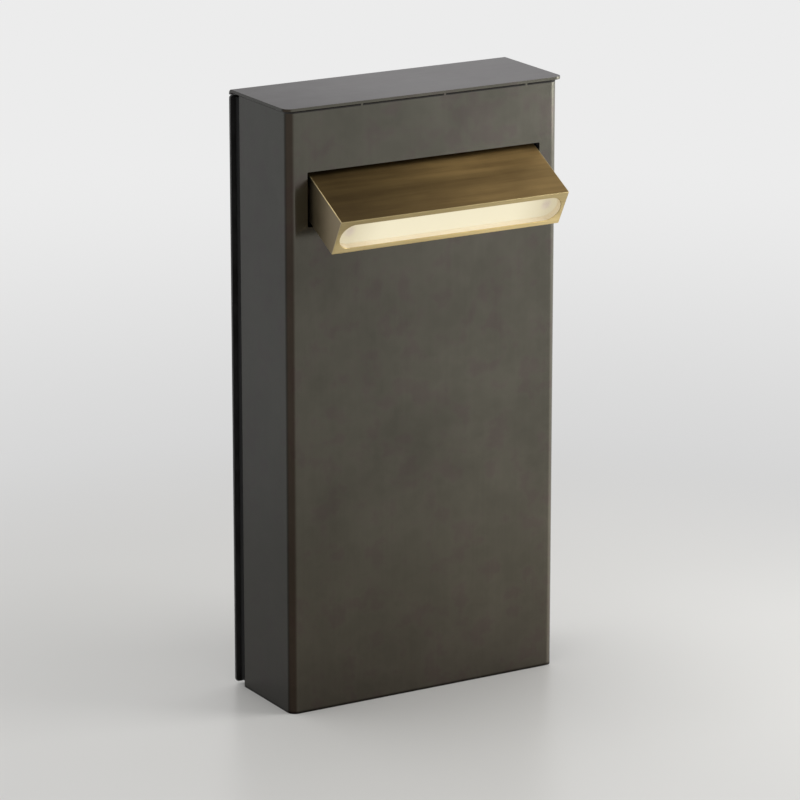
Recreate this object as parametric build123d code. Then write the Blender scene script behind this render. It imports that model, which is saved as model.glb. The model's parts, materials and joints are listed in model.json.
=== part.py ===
"""Outdoor floor lamp: a folded metal housing with a tilting brass light bar.

All sizes are in millimetres. X runs across the lamp, Y runs from front to back, and Z is up.
The origin is the middle of the base, on the ground.
"""
import os
from math import cos, radians, tan

from build123d import *

# Housing: a rectangular tube of folded sheet, open at the top and the bottom
LAMP_HEIGHT = 406.0
HOUSING_WIDTH = 202.3
HOUSING_DEPTH = 66.6
HOUSING_SHEET = 1.5
FRONT_BEND_RADIUS = 5.5
REAR_BEND_RADIUS = 2.4
REAR_FLANGE_SIDE = 15.0
REAR_FLANGE_TOP = 24.0
REAR_FLANGE_BOTTOM = 20.0
WINDOW_CORNER_RADIUS = 6.0

# Cap: a sheet that overhangs the housing and turns down at the back
CAP_SHEET = 1.9
CAP_SIDE_OVERHANG = 2.6
CAP_FRONT_OVERHANG = 1.9
CAP_CORNER_RADIUS = 5.5
CAP_BEND_RADIUS = 3.0
CAP_LIP_DROP = 3.6
CAP_EDGE_ROUND = 0.4
CAP_REVEAL = 0.8
TAB_WIDTH = 1.5
TAB_PITCH = 61.7
TAB_COUNT = 3
TAB_ROW_OFFSET = 14.8

# Cap brackets, studs and nuts
CAP_BRACKET_SHEET = 2.0
CAP_BRACKET_BEND = 1.0
CAP_BRACKET_DROP = 14.0
CAP_BRACKET_REACH = 16.0
CAP_BRACKET_END_GAP = 3.8
CAP_STUD_END_INSET = 9.0
CAP_STUD_INSET = 9.0

# Small fasteners
M3_RADIUS = 1.5
M3_NUT_FLATS = 5.5
M3_NUT_HEIGHT = 2.4
M4_RADIUS = 2.0
M5_RADIUS = 2.5
M4_NUT_FLATS = 7.0
M4_NUT_HEIGHT = 3.2
M5_NUT_FLATS = 8.0
M5_NUT_HEIGHT = 4.0
STUD_PROUD = 0.8
SCREW_TIP = 1.0
HOLE_CLEARANCE = 0.25
PAN_HEAD_RADIUS = 3.6
PAN_HEAD_HEIGHT = 2.4
PAN_HEAD_EDGE = 0.9
PAN_CROSS_LENGTH = 4.0
PAN_CROSS_WIDTH = 0.9
PAN_CROSS_DEPTH = 1.2

# Rear cover, its gasket, screws and rivet nuts
REAR_COVER_SHEET = 2.0
REAR_COVER_GROUND_GAP = 2.2
REAR_COVER_TOP_GAP = 0.4
REAR_COVER_CORNER = 2.0
REAR_GASKET_THICKNESS = 4.6
REAR_GASKET_INSET = 1.2
REAR_SCREW_ROWS = 3
REAR_SCREW_EDGE = 12.0
REAR_SCREW_HEAD_RADIUS = 3.8
REAR_SCREW_HEAD_HEIGHT = 2.2
REAR_SCREW_SHOULDER = 0.7
REAR_SCREW_CROWN = 1.3
REAR_SCREW_LENGTH = 14.0
HEX_SOCKET_FLATS = 2.5
HEX_SOCKET_DEPTH = 1.3
RIVET_NUT_RADIUS = 3.0
RIVET_NUT_LENGTH = 9.0
RIVET_NUT_FLANGE_RADIUS = 4.2
RIVET_NUT_FLANGE = 0.6

# Base plate and the angles that carry it
BASE_PLATE_THICKNESS = 3.0
BASE_PLATE_CLEARANCE = 0.3
BASE_ANGLE_SHEET = 2.0
BASE_ANGLE_BEND = 1.0
BASE_ANGLE_HEIGHT = 20.0
BASE_ANGLE_REACH = 18.0
BASE_ANGLE_END_GAP = 0.3
BASE_SCREW_END_INSET = 9.5
BASE_SCREW_INSET = 10.0
BASE_SCREW_SEAT = 5.0
BASE_SCREW_RECESS = 0.4
ANCHOR_SPACING_X = 136.0
ANCHOR_SPACING_Y = 40.0
ANCHOR_HOLE_RADIUS = 3.5
CABLE_HOLE_RADIUS = 10.0
CABLE_HOLE_Y = 14.0

# Cable grommet and cord grip
GROMMET_BORE_RADIUS = 4.0
GROMMET_FLANGE = 2.0
GROMMET_LIP_HEIGHT = 2.0
GROMMET_EDGE = 1.0
GRIP_WIDTH = 12.0
GRIP_SHEET = 1.2
GRIP_HEIGHT = 9.0
GRIP_LEVEL = 30.0
GRIP_SCREW_SPACING = 20.0
GRIP_HEAD_GAP = 0.5

# Gear tray
TRAY_SHEET = 1.5
TRAY_WIDTH = 110.0
TRAY_TOP_MARGIN = 9.0
TRAY_FRONT_GAP = 9.8
TRAY_FOOT = 17.0
TRAY_BEND = 1.2
TRAY_CORNER_RADIUS = 8.0
TRAY_SCREW_SPACING = 70.0
TRAY_SCREW_GROUND_GAP = 0.5

# LED driver
DRIVER_WIDTH = 42.0
DRIVER_DEPTH = 30.0
DRIVER_HEIGHT = 120.0
DRIVER_SIDE_MARGIN = 7.0
DRIVER_FOOT = 110.0
DRIVER_CORNER_RADIUS = 4.0
DRIVER_LUG_LENGTH = 9.0
DRIVER_LUG_THICKNESS = 3.0
DRIVER_LUG_WIDTH = 22.0
DRIVER_LUG_ROUND = 3.0
DRIVER_LUG_SLOT = 6.0

# Terminal block and earth stud
TERMINAL_SIDE_MARGIN = 14.5
TERMINAL_LEVEL = 46.0
TERMINAL_POLES = 3
TERMINAL_PITCH = 11.0
TERMINAL_DEPTH = 15.0
TERMINAL_HEIGHT = 16.0
TERMINAL_WELL_RADIUS = 2.6
TERMINAL_WELL_DEPTH = 4.0
TERMINAL_ENTRY_RADIUS = 2.4
TERMINAL_ENTRY_DEPTH = 5.0
TERMINAL_ENTRY_SETBACK = 6.0
TERMINAL_EDGE = 1.0
TERMINAL_SCREW_GAP = 0.3
TERMINAL_SCREW_HEIGHT = 2.2
TERMINAL_SLOT_WIDTH = 0.8
TERMINAL_SLOT_DEPTH = 1.0
EARTH_SIDE_MARGIN = 9.0
EARTH_LEVEL = 84.0
EARTH_STUD_LENGTH = 12.0
EARTH_WASHER_RADIUS = 5.0
EARTH_WASHER = 1.0

# Light head: a brass bar that passes through a slot in the front
HEAD_HEIGHT = 26.7
HEAD_TILT = 28.5
HEAD_REACH = 48.55
HEAD_TAIL = 25.0
HEAD_WALL = 2.5
HEAD_EDGE = 0.5
PIVOT_SETBACK = 9.0
PIVOT_DROP = 56.2
SLOT_SIDE_GAP = 2.0
SLOT_TOP_GAP = 3.1
SLOT_BOTTOM_GAP = 2.5
SLOT_CORNER_RADIUS = 0.8

# Lens, its recess and its gasket
LENS_END_MARGIN = 2.8
LENS_SIDE_MARGIN = 3.65
LENS_RECESS = 4.1
LENS_THICKNESS = 3.0
LENS_CLEARANCE = 0.15
LENS_EDGE_ROUND = 0.4
LENS_GASKET = 0.8
LEDGE_WIDTH = 2.0
LEDGE_THICKNESS = 2.0

# Light engine
CHANNEL_END_GAP = 7.5
CHANNEL_CLEARANCE = 0.3
CHANNEL_WEB = 5.0
CHANNEL_LEG = 1.6
CHANNEL_DEPTH = 17.0
CHANNEL_GROOVE = 1.6
CHANNEL_GROOVE_COUNT = 3
CHANNEL_GROOVE_PITCH = 5.0
BOARD_END_GAP = 1.0
BOARD_SIDE_GAP = 2.95
BOARD_THICKNESS = 1.6
LED_COUNT = 24
LED_SCREW_GAP = 4.55
LED_SIZE = 2.8
LED_HEIGHT = 0.8
BOARD_SCREW_INSET = 2.75
BOARD_SCREW_RADIUS = 1.0
BOARD_SCREW_HEAD_RADIUS = 1.9
BOARD_SCREW_HEAD = 1.2
BOARD_SCREW_LENGTH = 4.0

# Head back cover
HEAD_COVER = 2.0
HEAD_GASKET = 0.8
HEAD_GASKET_LAP = 0.5
HEAD_BOSS = 6.5
HEAD_BOSS_LENGTH = 12.0
HEAD_SCREW_INSET = 5.4
HEAD_SCREW_LENGTH = 10.0
HEAD_SCREW_HEAD_RADIUS = 2.8
HEAD_SCREW_HEAD = 1.2
HEAD_SCREW_EDGE = 0.5
HEAD_SOCKET_FLATS = 2.0
HEAD_SOCKET_DEPTH = 0.85

# Pivot joint
PIN_RADIUS = 4.0
PIN_FIT = 0.05
PIN_HEAD_RADIUS = 6.0
PIN_HEAD = 2.5
PIN_EDGE = 0.4
PIVOT_PAD_RADIUS = 8.0
PIVOT_PAD = 2.0
TUBE_BORE_RADIUS = 2.3
FRICTION_WASHER = 0.8
FRICTION_WASHER_RADIUS = 6.5
SPRING_WASHER = 1.0
SPRING_WASHER_RADIUS = 6.2
PIVOT_NUT = 4.0
PIVOT_NUT_FLATS = 11.0
PIN_PROUD = 0.8

# Pivot brackets
EAR_SHEET = 2.0
EAR_BEND_RADIUS = 1.0
EAR_ROUND = 10.0
EAR_HEIGHT = 56.0
EAR_FOOT_GAP = 0.25
EAR_RELIEF = 7.5
BRACKET_STUD_SPACING = 38.0
BRACKET_STUD_INSET = 4.2

# Wires and leads; a route is a list of shares of the way between its ends, along X, Y and Z
LEAD_RADIUS = 1.8
LEAD_SIDE_OFFSET = 3.0
LEAD_WALL_GAP = 1.25
LEAD_BEND_SHARE = 0.45
CONNECTOR_LENGTH = 12.0
CONNECTOR_RADIUS = 3.2
CONNECTOR_EDGE = 0.5
CONNECTOR_GAP = 4.0
WIRE_RADIUS = 0.9
WIRE_SETBACK = 8.5
INLET_RADIUS = 3.4
INLET_LENGTH = 4.0
INPUT_LEAD_RADIUS = 2.2
HEAD_LEAD_ROUTE = (
    (0.01, 0.55, 0.27),
    (0.12, 0.92, 0.53),
    (0.36, 1.05, 0.71),
    (0.65, 1.03, 0.78),
    (0.89, 1.00, 0.80),
    (1.00, 1.00, 0.88),
)
INPUT_LEAD_ROUTE = (
    (0.00, 0.00, 0.27),
    (0.31, 0.28, 0.48),
    (0.73, 0.61, 0.52),
    (1.00, 1.00, 0.73),
)

# How far a cutting form runs past the face that it opens
PAST = 1.0

# Places worked out from the sizes above
FRONT_Y = -HOUSING_DEPTH / 2
BACK_Y = HOUSING_DEPTH / 2
INNER_X = HOUSING_WIDTH / 2 - HOUSING_SHEET
INNER_FRONT_Y = FRONT_Y + HOUSING_SHEET
INNER_BACK_Y = BACK_Y - HOUSING_SHEET
CAP_UNDERSIDE = LAMP_HEIGHT - CAP_SHEET
HOUSING_TOP = CAP_UNDERSIDE - CAP_REVEAL
FLAT_DEPTH = HOUSING_DEPTH - 2 * FRONT_BEND_RADIUS
CAP_BRACKET_LENGTH = FLAT_DEPTH - 2 * CAP_BRACKET_END_GAP
CAP_STUD_SPACING = CAP_BRACKET_LENGTH - 2 * CAP_STUD_END_INSET
BASE_ANGLE_LENGTH = FLAT_DEPTH - 2 * BASE_ANGLE_END_GAP
BASE_SCREW_SPACING = BASE_ANGLE_LENGTH - 2 * BASE_SCREW_END_INSET
COVER_INNER_Y = BACK_Y + REAR_GASKET_THICKNESS
COVER_OUTER_Y = COVER_INNER_Y + REAR_COVER_SHEET
COVER_TOP = LAMP_HEIGHT - CAP_LIP_DROP - REAR_COVER_TOP_GAP
COVER_WIDTH = HOUSING_WIDTH + 2 * CAP_SIDE_OVERHANG
TRAY_FRONT_Y = INNER_FRONT_Y + TRAY_FRONT_GAP
TRAY_FACE_Y = TRAY_FRONT_Y + TRAY_SHEET
DRIVER_TOP = DRIVER_FOOT + DRIVER_HEIGHT
DRIVER_X = DRIVER_SIDE_MARGIN + DRIVER_WIDTH / 2 - TRAY_WIDTH / 2
DRIVER_MID_Y = TRAY_FACE_Y + DRIVER_DEPTH / 2
TRAY_HEIGHT = DRIVER_TOP + DRIVER_LUG_LENGTH + TRAY_TOP_MARGIN - BASE_PLATE_THICKNESS
TERMINAL_WIDTH = TERMINAL_POLES * TERMINAL_PITCH
TERMINAL_X = TRAY_WIDTH / 2 - TERMINAL_SIDE_MARGIN - TERMINAL_WIDTH / 2
TERMINAL_ENTRY_Y = TRAY_FACE_Y + TERMINAL_ENTRY_SETBACK
EARTH_X = TRAY_WIDTH / 2 - EARTH_SIDE_MARGIN

# The bar is as wide as the joint at each of its ends leaves room for
LEAD_X = INNER_X - LEAD_WALL_GAP - LEAD_RADIUS
PIN_END = LEAD_X - LEAD_SIDE_OFFSET
NUT_OUTER = PIN_END - PIN_PROUD
NUT_INNER = NUT_OUTER - PIVOT_NUT
EAR_OUTER = NUT_INNER - SPRING_WASHER
EAR_INNER = EAR_OUTER - EAR_SHEET
EAR_FOOT = HOUSING_WIDTH / 2 - FRONT_BEND_RADIUS - EAR_FOOT_GAP - EAR_OUTER
HEAD_END = EAR_INNER - FRICTION_WASHER
HEAD_WIDTH = 2 * HEAD_END
BRACKET_STUD_X = EAR_OUTER + BRACKET_STUD_INSET
STUD_Y = INNER_FRONT_Y + EAR_SHEET

# The tilted bar meets the front wall between these levels
PIVOT_Y = FRONT_Y + PIVOT_SETBACK
PIVOT_LEVEL = LAMP_HEIGHT - PIVOT_DROP
BAR_HALF_SECTION = HEAD_HEIGHT / 2 / cos(radians(HEAD_TILT))
BAR_MIDDLE_LEVEL = PIVOT_LEVEL - PIVOT_SETBACK * tan(radians(HEAD_TILT))
SLOT_TOP_LEVEL = BAR_MIDDLE_LEVEL + BAR_HALF_SECTION + SLOT_TOP_GAP
SLOT_BOTTOM_LEVEL = BAR_MIDDLE_LEVEL - BAR_HALF_SECTION - SLOT_BOTTOM_GAP
SLOT_HEIGHT = SLOT_TOP_LEVEL - SLOT_BOTTOM_LEVEL
SLOT_MIDDLE_LEVEL = (SLOT_TOP_LEVEL + SLOT_BOTTOM_LEVEL) / 2

# Inside the bar, level, with its pivot at the origin
HEAD_NOSE = -HEAD_REACH
HEAD_BACK = HEAD_TAIL - HEAD_COVER - HEAD_GASKET
LENS_LENGTH = HEAD_WIDTH - 2 * LENS_END_MARGIN
LENS_HEIGHT = HEAD_HEIGHT - 2 * LENS_SIDE_MARGIN
LENS_FACE = HEAD_NOSE + LENS_RECESS
GASKET_FACE = LENS_FACE + LENS_THICKNESS
LEDGE_FACE = GASKET_FACE + LENS_GASKET
CAVITY_FRONT = LEDGE_FACE + LEDGE_THICKNESS
CAVITY_WIDTH = HEAD_WIDTH - 2 * HEAD_WALL
CAVITY_HEIGHT = HEAD_HEIGHT - 2 * HEAD_WALL
CHANNEL_LENGTH = CAVITY_WIDTH - 2 * CHANNEL_END_GAP
CHANNEL_HEIGHT = CAVITY_HEIGHT - 2 * CHANNEL_CLEARANCE
TROUGH_HEIGHT = CHANNEL_HEIGHT - 2 * CHANNEL_LEG
CHANNEL_BACK = CAVITY_FRONT + CHANNEL_DEPTH
BOARD_BACK = CHANNEL_BACK - CHANNEL_WEB
BOARD_FACE = BOARD_BACK - BOARD_THICKNESS
BOARD_LENGTH = CHANNEL_LENGTH - 2 * BOARD_END_GAP
BOARD_WIDTH = TROUGH_HEIGHT - 2 * BOARD_SIDE_GAP
BOARD_SCREW_SPACING = BOARD_LENGTH - 2 * BOARD_SCREW_INSET
LED_PITCH = (BOARD_SCREW_SPACING - 2 * LED_SCREW_GAP) / (LED_COUNT - 1)
PIN_FLANGE_BACK = CAVITY_WIDTH / 2 - PIVOT_PAD
LEAD_INNER_END = PIN_FLANGE_BACK - PIN_HEAD - CONNECTOR_GAP
WIRE_X = LEAD_INNER_END - WIRE_SETBACK


def prism_x(sketch, start, end):
    """Extrude a sketch whose own x and y lie along Y and Z."""
    return extrude(Plane.YZ.offset(start) * sketch, amount=end - start)


def prism_y(sketch, start, end):
    """Extrude a sketch whose own x and y lie along X and Z."""
    return extrude(Plane.XZ.offset(-start) * sketch, amount=start - end)


def prism_z(sketch, start, end):
    """Extrude a sketch whose own x and y lie along X and Y."""
    return extrude(Plane.XY.offset(start) * sketch, amount=end - start)


def together(shapes):
    """Hold several separate solids as one piece."""
    group = Part()
    for shape in shapes:
        group = group + shape
    return group


def mirrored(shape):
    """Copy a piece of the right side to the left side."""
    return mirror(shape, about=Plane.YZ)


def on_head(shape):
    """Turn a piece from the level light bar to its place on the tilted one."""
    return Pos(0, PIVOT_Y, PIVOT_LEVEL) * Rot(HEAD_TILT, 0, 0) * shape


def hexagon(flats):
    """A hexagon measured across its flats."""
    return RegularPolygon(flats / 2, 6, major_radius=False)


def lead_radii(points, first_radius=None):
    """The largest smooth bend at each corner of a lead, in order."""
    radii = []
    for before, corner, after in zip(points, points[1:], points[2:]):
        run_in = Vector(*corner) - Vector(*before)
        run_out = Vector(*after) - Vector(*corner)
        turn = radians(run_in.get_angle(run_out))
        radii.append(LEAD_BEND_SHARE * min(run_in.length, run_out.length) / tan(turn / 2))
    if first_radius is not None:
        radii[0] = min(radii[0], first_radius)
    return radii


def lead_along(points, radius, first_radius=None):
    """A round lead that follows straight runs joined by tangent bends."""
    path = FilletPolyline(*points, radius=lead_radii(points, first_radius))
    start = Plane(origin=points[0], z_dir=path.tangent_at(0))
    return sweep(start * Circle(radius), path=path)


def between(start, end, route):
    """The points of a lead's route between two places."""
    return [
        tuple(low + share * (high - low) for low, high, share in zip(start, end, shares))
        for shares in route
    ]


def rear_screw_places():
    """The X and Z of each rear cover screw."""
    low = REAR_COVER_GROUND_GAP + REAR_SCREW_EDGE
    high = HOUSING_TOP - REAR_SCREW_EDGE
    step = (high - low) / (REAR_SCREW_ROWS - 1)
    across = HOUSING_WIDTH / 2 - REAR_FLANGE_SIDE / 2
    return [(side * across, low + row * step) for row in range(REAR_SCREW_ROWS) for side in (-1, 1)]


def service_window():
    """The outline of the opening behind the rear cover."""
    width = HOUSING_WIDTH - 2 * REAR_FLANGE_SIDE
    height = HOUSING_TOP - REAR_FLANGE_TOP - REAR_FLANGE_BOTTOM
    middle = REAR_FLANGE_BOTTOM + height / 2
    return Pos(0, middle) * RectangleRounded(width, height, WINDOW_CORNER_RADIUS)


def housing():
    """The folded tube, with its light slot, its rear service window and its top tabs."""
    outline = Rectangle(HOUSING_WIDTH, HOUSING_DEPTH)
    outline = fillet(outline.vertices().group_by(Axis.Y)[0], FRONT_BEND_RADIUS)
    outline = fillet(outline.vertices().group_by(Axis.Y)[-1], REAR_BEND_RADIUS)
    tube = prism_z(outline - offset(outline, amount=-HOUSING_SHEET), 0, HOUSING_TOP)
    slot = RectangleRounded(HEAD_WIDTH + 2 * SLOT_SIDE_GAP, SLOT_HEIGHT, SLOT_CORNER_RADIUS)
    slot = Pos(0, SLOT_MIDDLE_LEVEL) * slot
    tube -= prism_y(slot, FRONT_Y - HOUSING_SHEET, INNER_FRONT_Y + HOUSING_SHEET)
    tube -= prism_y(service_window(), INNER_BACK_Y - HOUSING_SHEET, BACK_Y + HOUSING_SHEET)
    for x, z in rear_screw_places():
        tube -= prism_y(Pos(x, z) * Circle(RIVET_NUT_RADIUS), INNER_BACK_Y - PAST, BACK_Y + PAST)
    for index in range(TAB_COUNT):
        x = TAB_ROW_OFFSET + (index - (TAB_COUNT - 1) / 2) * TAB_PITCH
        tab = Pos(x, HOUSING_TOP + CAP_REVEAL / 2) * Rectangle(TAB_WIDTH, CAP_REVEAL)
        tube += prism_y(tab, FRONT_Y, INNER_FRONT_Y)
    return tube


def top_cap():
    """The cap sheet: rounded front corners and a bent lip at the back."""
    front = FRONT_Y - CAP_FRONT_OVERHANG
    length = COVER_OUTER_Y - front
    middle = (front + COVER_OUTER_Y) / 2
    outer = Pos(middle, LAMP_HEIGHT - CAP_LIP_DROP / 2) * Rectangle(length, CAP_LIP_DROP)
    outer = fillet(outer.vertices().group_by(Axis.Y)[-1].sort_by(Axis.X)[-1], CAP_BEND_RADIUS)
    inner = Pos(middle - CAP_SHEET, CAP_UNDERSIDE - CAP_LIP_DROP / 2) * Rectangle(length, CAP_LIP_DROP)
    inner_radius = CAP_BEND_RADIUS - CAP_SHEET
    inner = fillet(inner.vertices().group_by(Axis.Y)[-1].sort_by(Axis.X)[-1], inner_radius)
    cap = prism_x(outer - inner, -COVER_WIDTH / 2, COVER_WIDTH / 2)
    cap = fillet(cap.edges().filter_by(Axis.Z).group_by(Axis.Y)[0], CAP_CORNER_RADIUS)
    top_edges = cap.faces().sort_by(Axis.Z)[-1].edges()
    return fillet(top_edges - top_edges.group_by(Axis.Y)[-1], CAP_EDGE_ROUND)


def cap_stud_places():
    """The X and Y of each cap stud."""
    x = INNER_X - CAP_STUD_INSET
    return [(side * x, end * CAP_STUD_SPACING / 2) for side in (-1, 1) for end in (-1, 1)]


def cap_bracket(side):
    """An angle that joins one side of the housing to the underside of the cap."""
    upright = Pos(INNER_X - CAP_BRACKET_REACH / 2, CAP_UNDERSIDE - CAP_BRACKET_DROP / 2)
    outer = upright * Rectangle(CAP_BRACKET_REACH, CAP_BRACKET_DROP)
    corner = outer.vertices().group_by(Axis.Y)[-1].sort_by(Axis.X)[-1]
    outer = fillet(corner, CAP_BRACKET_SHEET + CAP_BRACKET_BEND)
    shift = Pos(-CAP_BRACKET_SHEET, -CAP_BRACKET_SHEET)
    inner = shift * upright * Rectangle(CAP_BRACKET_REACH, CAP_BRACKET_DROP)
    inner = fillet(inner.vertices().group_by(Axis.Y)[-1].sort_by(Axis.X)[-1], CAP_BRACKET_BEND)
    bracket = prism_y(outer - inner, -CAP_BRACKET_LENGTH / 2, CAP_BRACKET_LENGTH / 2)
    for x, y in cap_stud_places():
        hole = Pos(x, y) * Circle(M4_RADIUS + HOLE_CLEARANCE)
        bracket -= prism_z(hole, CAP_UNDERSIDE - CAP_BRACKET_SHEET - PAST, CAP_UNDERSIDE + PAST)
    return bracket if side > 0 else mirrored(bracket)


def cap_studs():
    """Threaded studs under the cap."""
    low = CAP_UNDERSIDE - CAP_BRACKET_SHEET - M4_NUT_HEIGHT - STUD_PROUD
    return together(
        prism_z(Pos(x, y) * Circle(M4_RADIUS), low, CAP_UNDERSIDE) for x, y in cap_stud_places()
    )


def cap_nuts():
    """Hexagon nuts that pull the cap down on its brackets."""
    high = CAP_UNDERSIDE - CAP_BRACKET_SHEET
    ring = hexagon(M4_NUT_FLATS) - Circle(M4_RADIUS)
    return together(prism_z(Pos(x, y) * ring, high - M4_NUT_HEIGHT, high) for x, y in cap_stud_places())


def rear_cover():
    """The flat service cover on the back."""
    height = COVER_TOP - REAR_COVER_GROUND_GAP
    sheet = RectangleRounded(COVER_WIDTH, height, REAR_COVER_CORNER)
    sheet = Pos(0, REAR_COVER_GROUND_GAP + height / 2) * sheet
    for x, z in rear_screw_places():
        sheet -= Pos(x, z) * Circle(M4_RADIUS + HOLE_CLEARANCE)
    return prism_y(sheet, COVER_INNER_Y, COVER_OUTER_Y)


def rear_gasket():
    """The soft frame between the housing and the rear cover."""
    low = REAR_COVER_GROUND_GAP + REAR_GASKET_INSET
    high = COVER_TOP - REAR_GASKET_INSET
    width = HOUSING_WIDTH - 2 * REAR_GASKET_INSET
    frame = Pos(0, (low + high) / 2) * Rectangle(width, high - low) - service_window()
    for x, z in rear_screw_places():
        frame -= Pos(x, z) * Circle(RIVET_NUT_FLANGE_RADIUS + HOLE_CLEARANCE)
    return prism_y(frame, BACK_Y, COVER_INNER_Y)


def rear_screws():
    """Button-head screws with a hexagon socket."""
    head = prism_y(Circle(REAR_SCREW_HEAD_RADIUS), 0, REAR_SCREW_HEAD_HEIGHT)
    slope = REAR_SCREW_HEAD_HEIGHT - REAR_SCREW_SHOULDER
    head = chamfer(head.edges().sort_by(Axis.Y)[-1], REAR_SCREW_CROWN, slope)
    socket_floor = REAR_SCREW_HEAD_HEIGHT - HEX_SOCKET_DEPTH
    head -= prism_y(hexagon(HEX_SOCKET_FLATS), socket_floor, REAR_SCREW_HEAD_HEIGHT + PAST)
    screw = head + prism_y(Circle(M4_RADIUS), -REAR_SCREW_LENGTH, 0)
    return together(Pos(x, COVER_OUTER_Y, z) * screw for x, z in rear_screw_places())


def rivet_nuts():
    """Flanged inserts in the housing that take the rear cover screws."""
    body = Circle(RIVET_NUT_RADIUS) - Circle(M4_RADIUS)
    flange = Circle(RIVET_NUT_FLANGE_RADIUS) - Circle(M4_RADIUS)
    nut = prism_y(body, -RIVET_NUT_LENGTH, 0) + prism_y(flange, 0, RIVET_NUT_FLANGE)
    return together(Pos(x, BACK_Y, z) * nut for x, z in rear_screw_places())


def base_screw_places():
    """The X and Y of each screw that joins the base plate to its angles."""
    x = INNER_X - BASE_SCREW_INSET
    return [(side * x, end * BASE_SCREW_SPACING / 2) for side in (-1, 1) for end in (-1, 1)]


def base_plate():
    """The plate that stands on the ground, with anchor holes and a cable hole."""
    width = 2 * INNER_X - 2 * BASE_PLATE_CLEARANCE
    depth = HOUSING_DEPTH - 2 * HOUSING_SHEET - 2 * BASE_PLATE_CLEARANCE
    outline = Rectangle(width, depth)
    outline = fillet(outline.vertices(), FRONT_BEND_RADIUS - HOUSING_SHEET)
    for side in (-1, 1):
        for end in (-1, 1):
            place = Pos(side * ANCHOR_SPACING_X / 2, end * ANCHOR_SPACING_Y / 2)
            outline -= place * Circle(ANCHOR_HOLE_RADIUS)
    outline -= Pos(0, CABLE_HOLE_Y) * Circle(CABLE_HOLE_RADIUS)
    plate = prism_z(outline, 0, BASE_PLATE_THICKNESS)
    for x, y in base_screw_places():
        plate -= Pos(x, y, 0) * base_screw_form(HOLE_CLEARANCE)
    for x, y in tray_screw_places():
        plate -= prism_z(Pos(x, y) * Circle(M4_RADIUS), -PAST, BASE_PLATE_THICKNESS + PAST)
    return plate


def base_screw_form(clearance):
    """A countersunk screw seen from below, or its hole when it has clearance."""
    radius = M5_RADIUS + clearance
    length = BASE_PLATE_THICKNESS + BASE_ANGLE_SHEET + M5_NUT_HEIGHT
    shank = prism_z(Circle(radius), BASE_SCREW_RECESS, length)
    cone_height = BASE_SCREW_SEAT - M5_RADIUS
    cone = Cone(BASE_SCREW_SEAT + clearance, radius, cone_height)
    cone = Pos(0, 0, BASE_SCREW_RECESS + cone_height / 2) * cone
    form = shank + cone
    if clearance > 0:
        form += prism_z(Circle(BASE_SCREW_SEAT + clearance), -PAST, BASE_SCREW_RECESS)
    return form


def base_screws():
    """Countersunk screws up through the base plate."""
    socket = prism_z(hexagon(HEX_SOCKET_FLATS), 0, BASE_SCREW_RECESS + HEX_SOCKET_DEPTH)
    return together(
        Pos(x, y, 0) * (base_screw_form(0) - socket) for x, y in base_screw_places()
    )


def base_nuts():
    """Nuts on top of the base angles."""
    low = BASE_PLATE_THICKNESS + BASE_ANGLE_SHEET
    ring = hexagon(M5_NUT_FLATS) - Circle(M5_RADIUS)
    return together(prism_z(Pos(x, y) * ring, low, low + M5_NUT_HEIGHT) for x, y in base_screw_places())


def base_angle(side):
    """An angle on one side wall that stands on the base plate."""
    place = Pos(INNER_X - BASE_ANGLE_REACH / 2, BASE_PLATE_THICKNESS + BASE_ANGLE_HEIGHT / 2)
    outer = place * Rectangle(BASE_ANGLE_REACH, BASE_ANGLE_HEIGHT)
    corner = outer.vertices().group_by(Axis.Y)[0].sort_by(Axis.X)[-1]
    outer = fillet(corner, BASE_ANGLE_SHEET + BASE_ANGLE_BEND)
    shift = Pos(-BASE_ANGLE_SHEET, BASE_ANGLE_SHEET)
    inner = shift * place * Rectangle(BASE_ANGLE_REACH, BASE_ANGLE_HEIGHT)
    inner = fillet(inner.vertices().group_by(Axis.Y)[0].sort_by(Axis.X)[-1], BASE_ANGLE_BEND)
    angle = prism_y(outer - inner, -BASE_ANGLE_LENGTH / 2, BASE_ANGLE_LENGTH / 2)
    for x, y in base_screw_places():
        hole = Pos(x, y) * Circle(M5_RADIUS + HOLE_CLEARANCE)
        angle -= prism_z(hole, 0, BASE_PLATE_THICKNESS + BASE_ANGLE_SHEET + PAST)
    return angle if side > 0 else mirrored(angle)


def cable_grommet():
    """A rubber grommet that grips the base plate round the cable hole."""
    top = BASE_PLATE_THICKNESS + GROMMET_LIP_HEIGHT
    section = Polyline(
        (GROMMET_BORE_RADIUS, 0),
        (CABLE_HOLE_RADIUS, 0),
        (CABLE_HOLE_RADIUS, BASE_PLATE_THICKNESS),
        (CABLE_HOLE_RADIUS + GROMMET_FLANGE, BASE_PLATE_THICKNESS),
        (CABLE_HOLE_RADIUS + GROMMET_FLANGE, top - GROMMET_EDGE),
        (CABLE_HOLE_RADIUS + GROMMET_FLANGE - GROMMET_EDGE, top),
        (GROMMET_BORE_RADIUS, top),
        close=True,
    )
    ring = revolve(Plane.XZ * make_face(section), axis=Axis.Z)
    return Pos(0, CABLE_HOLE_Y, 0) * ring


def tray_screw_places():
    """The X and Y of each screw through the foot of the tray."""
    y = TRAY_FACE_Y + (TRAY_FOOT - TRAY_SHEET) / 2
    return [(side * TRAY_SCREW_SPACING / 2, y) for side in (-1, 1)]


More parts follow.
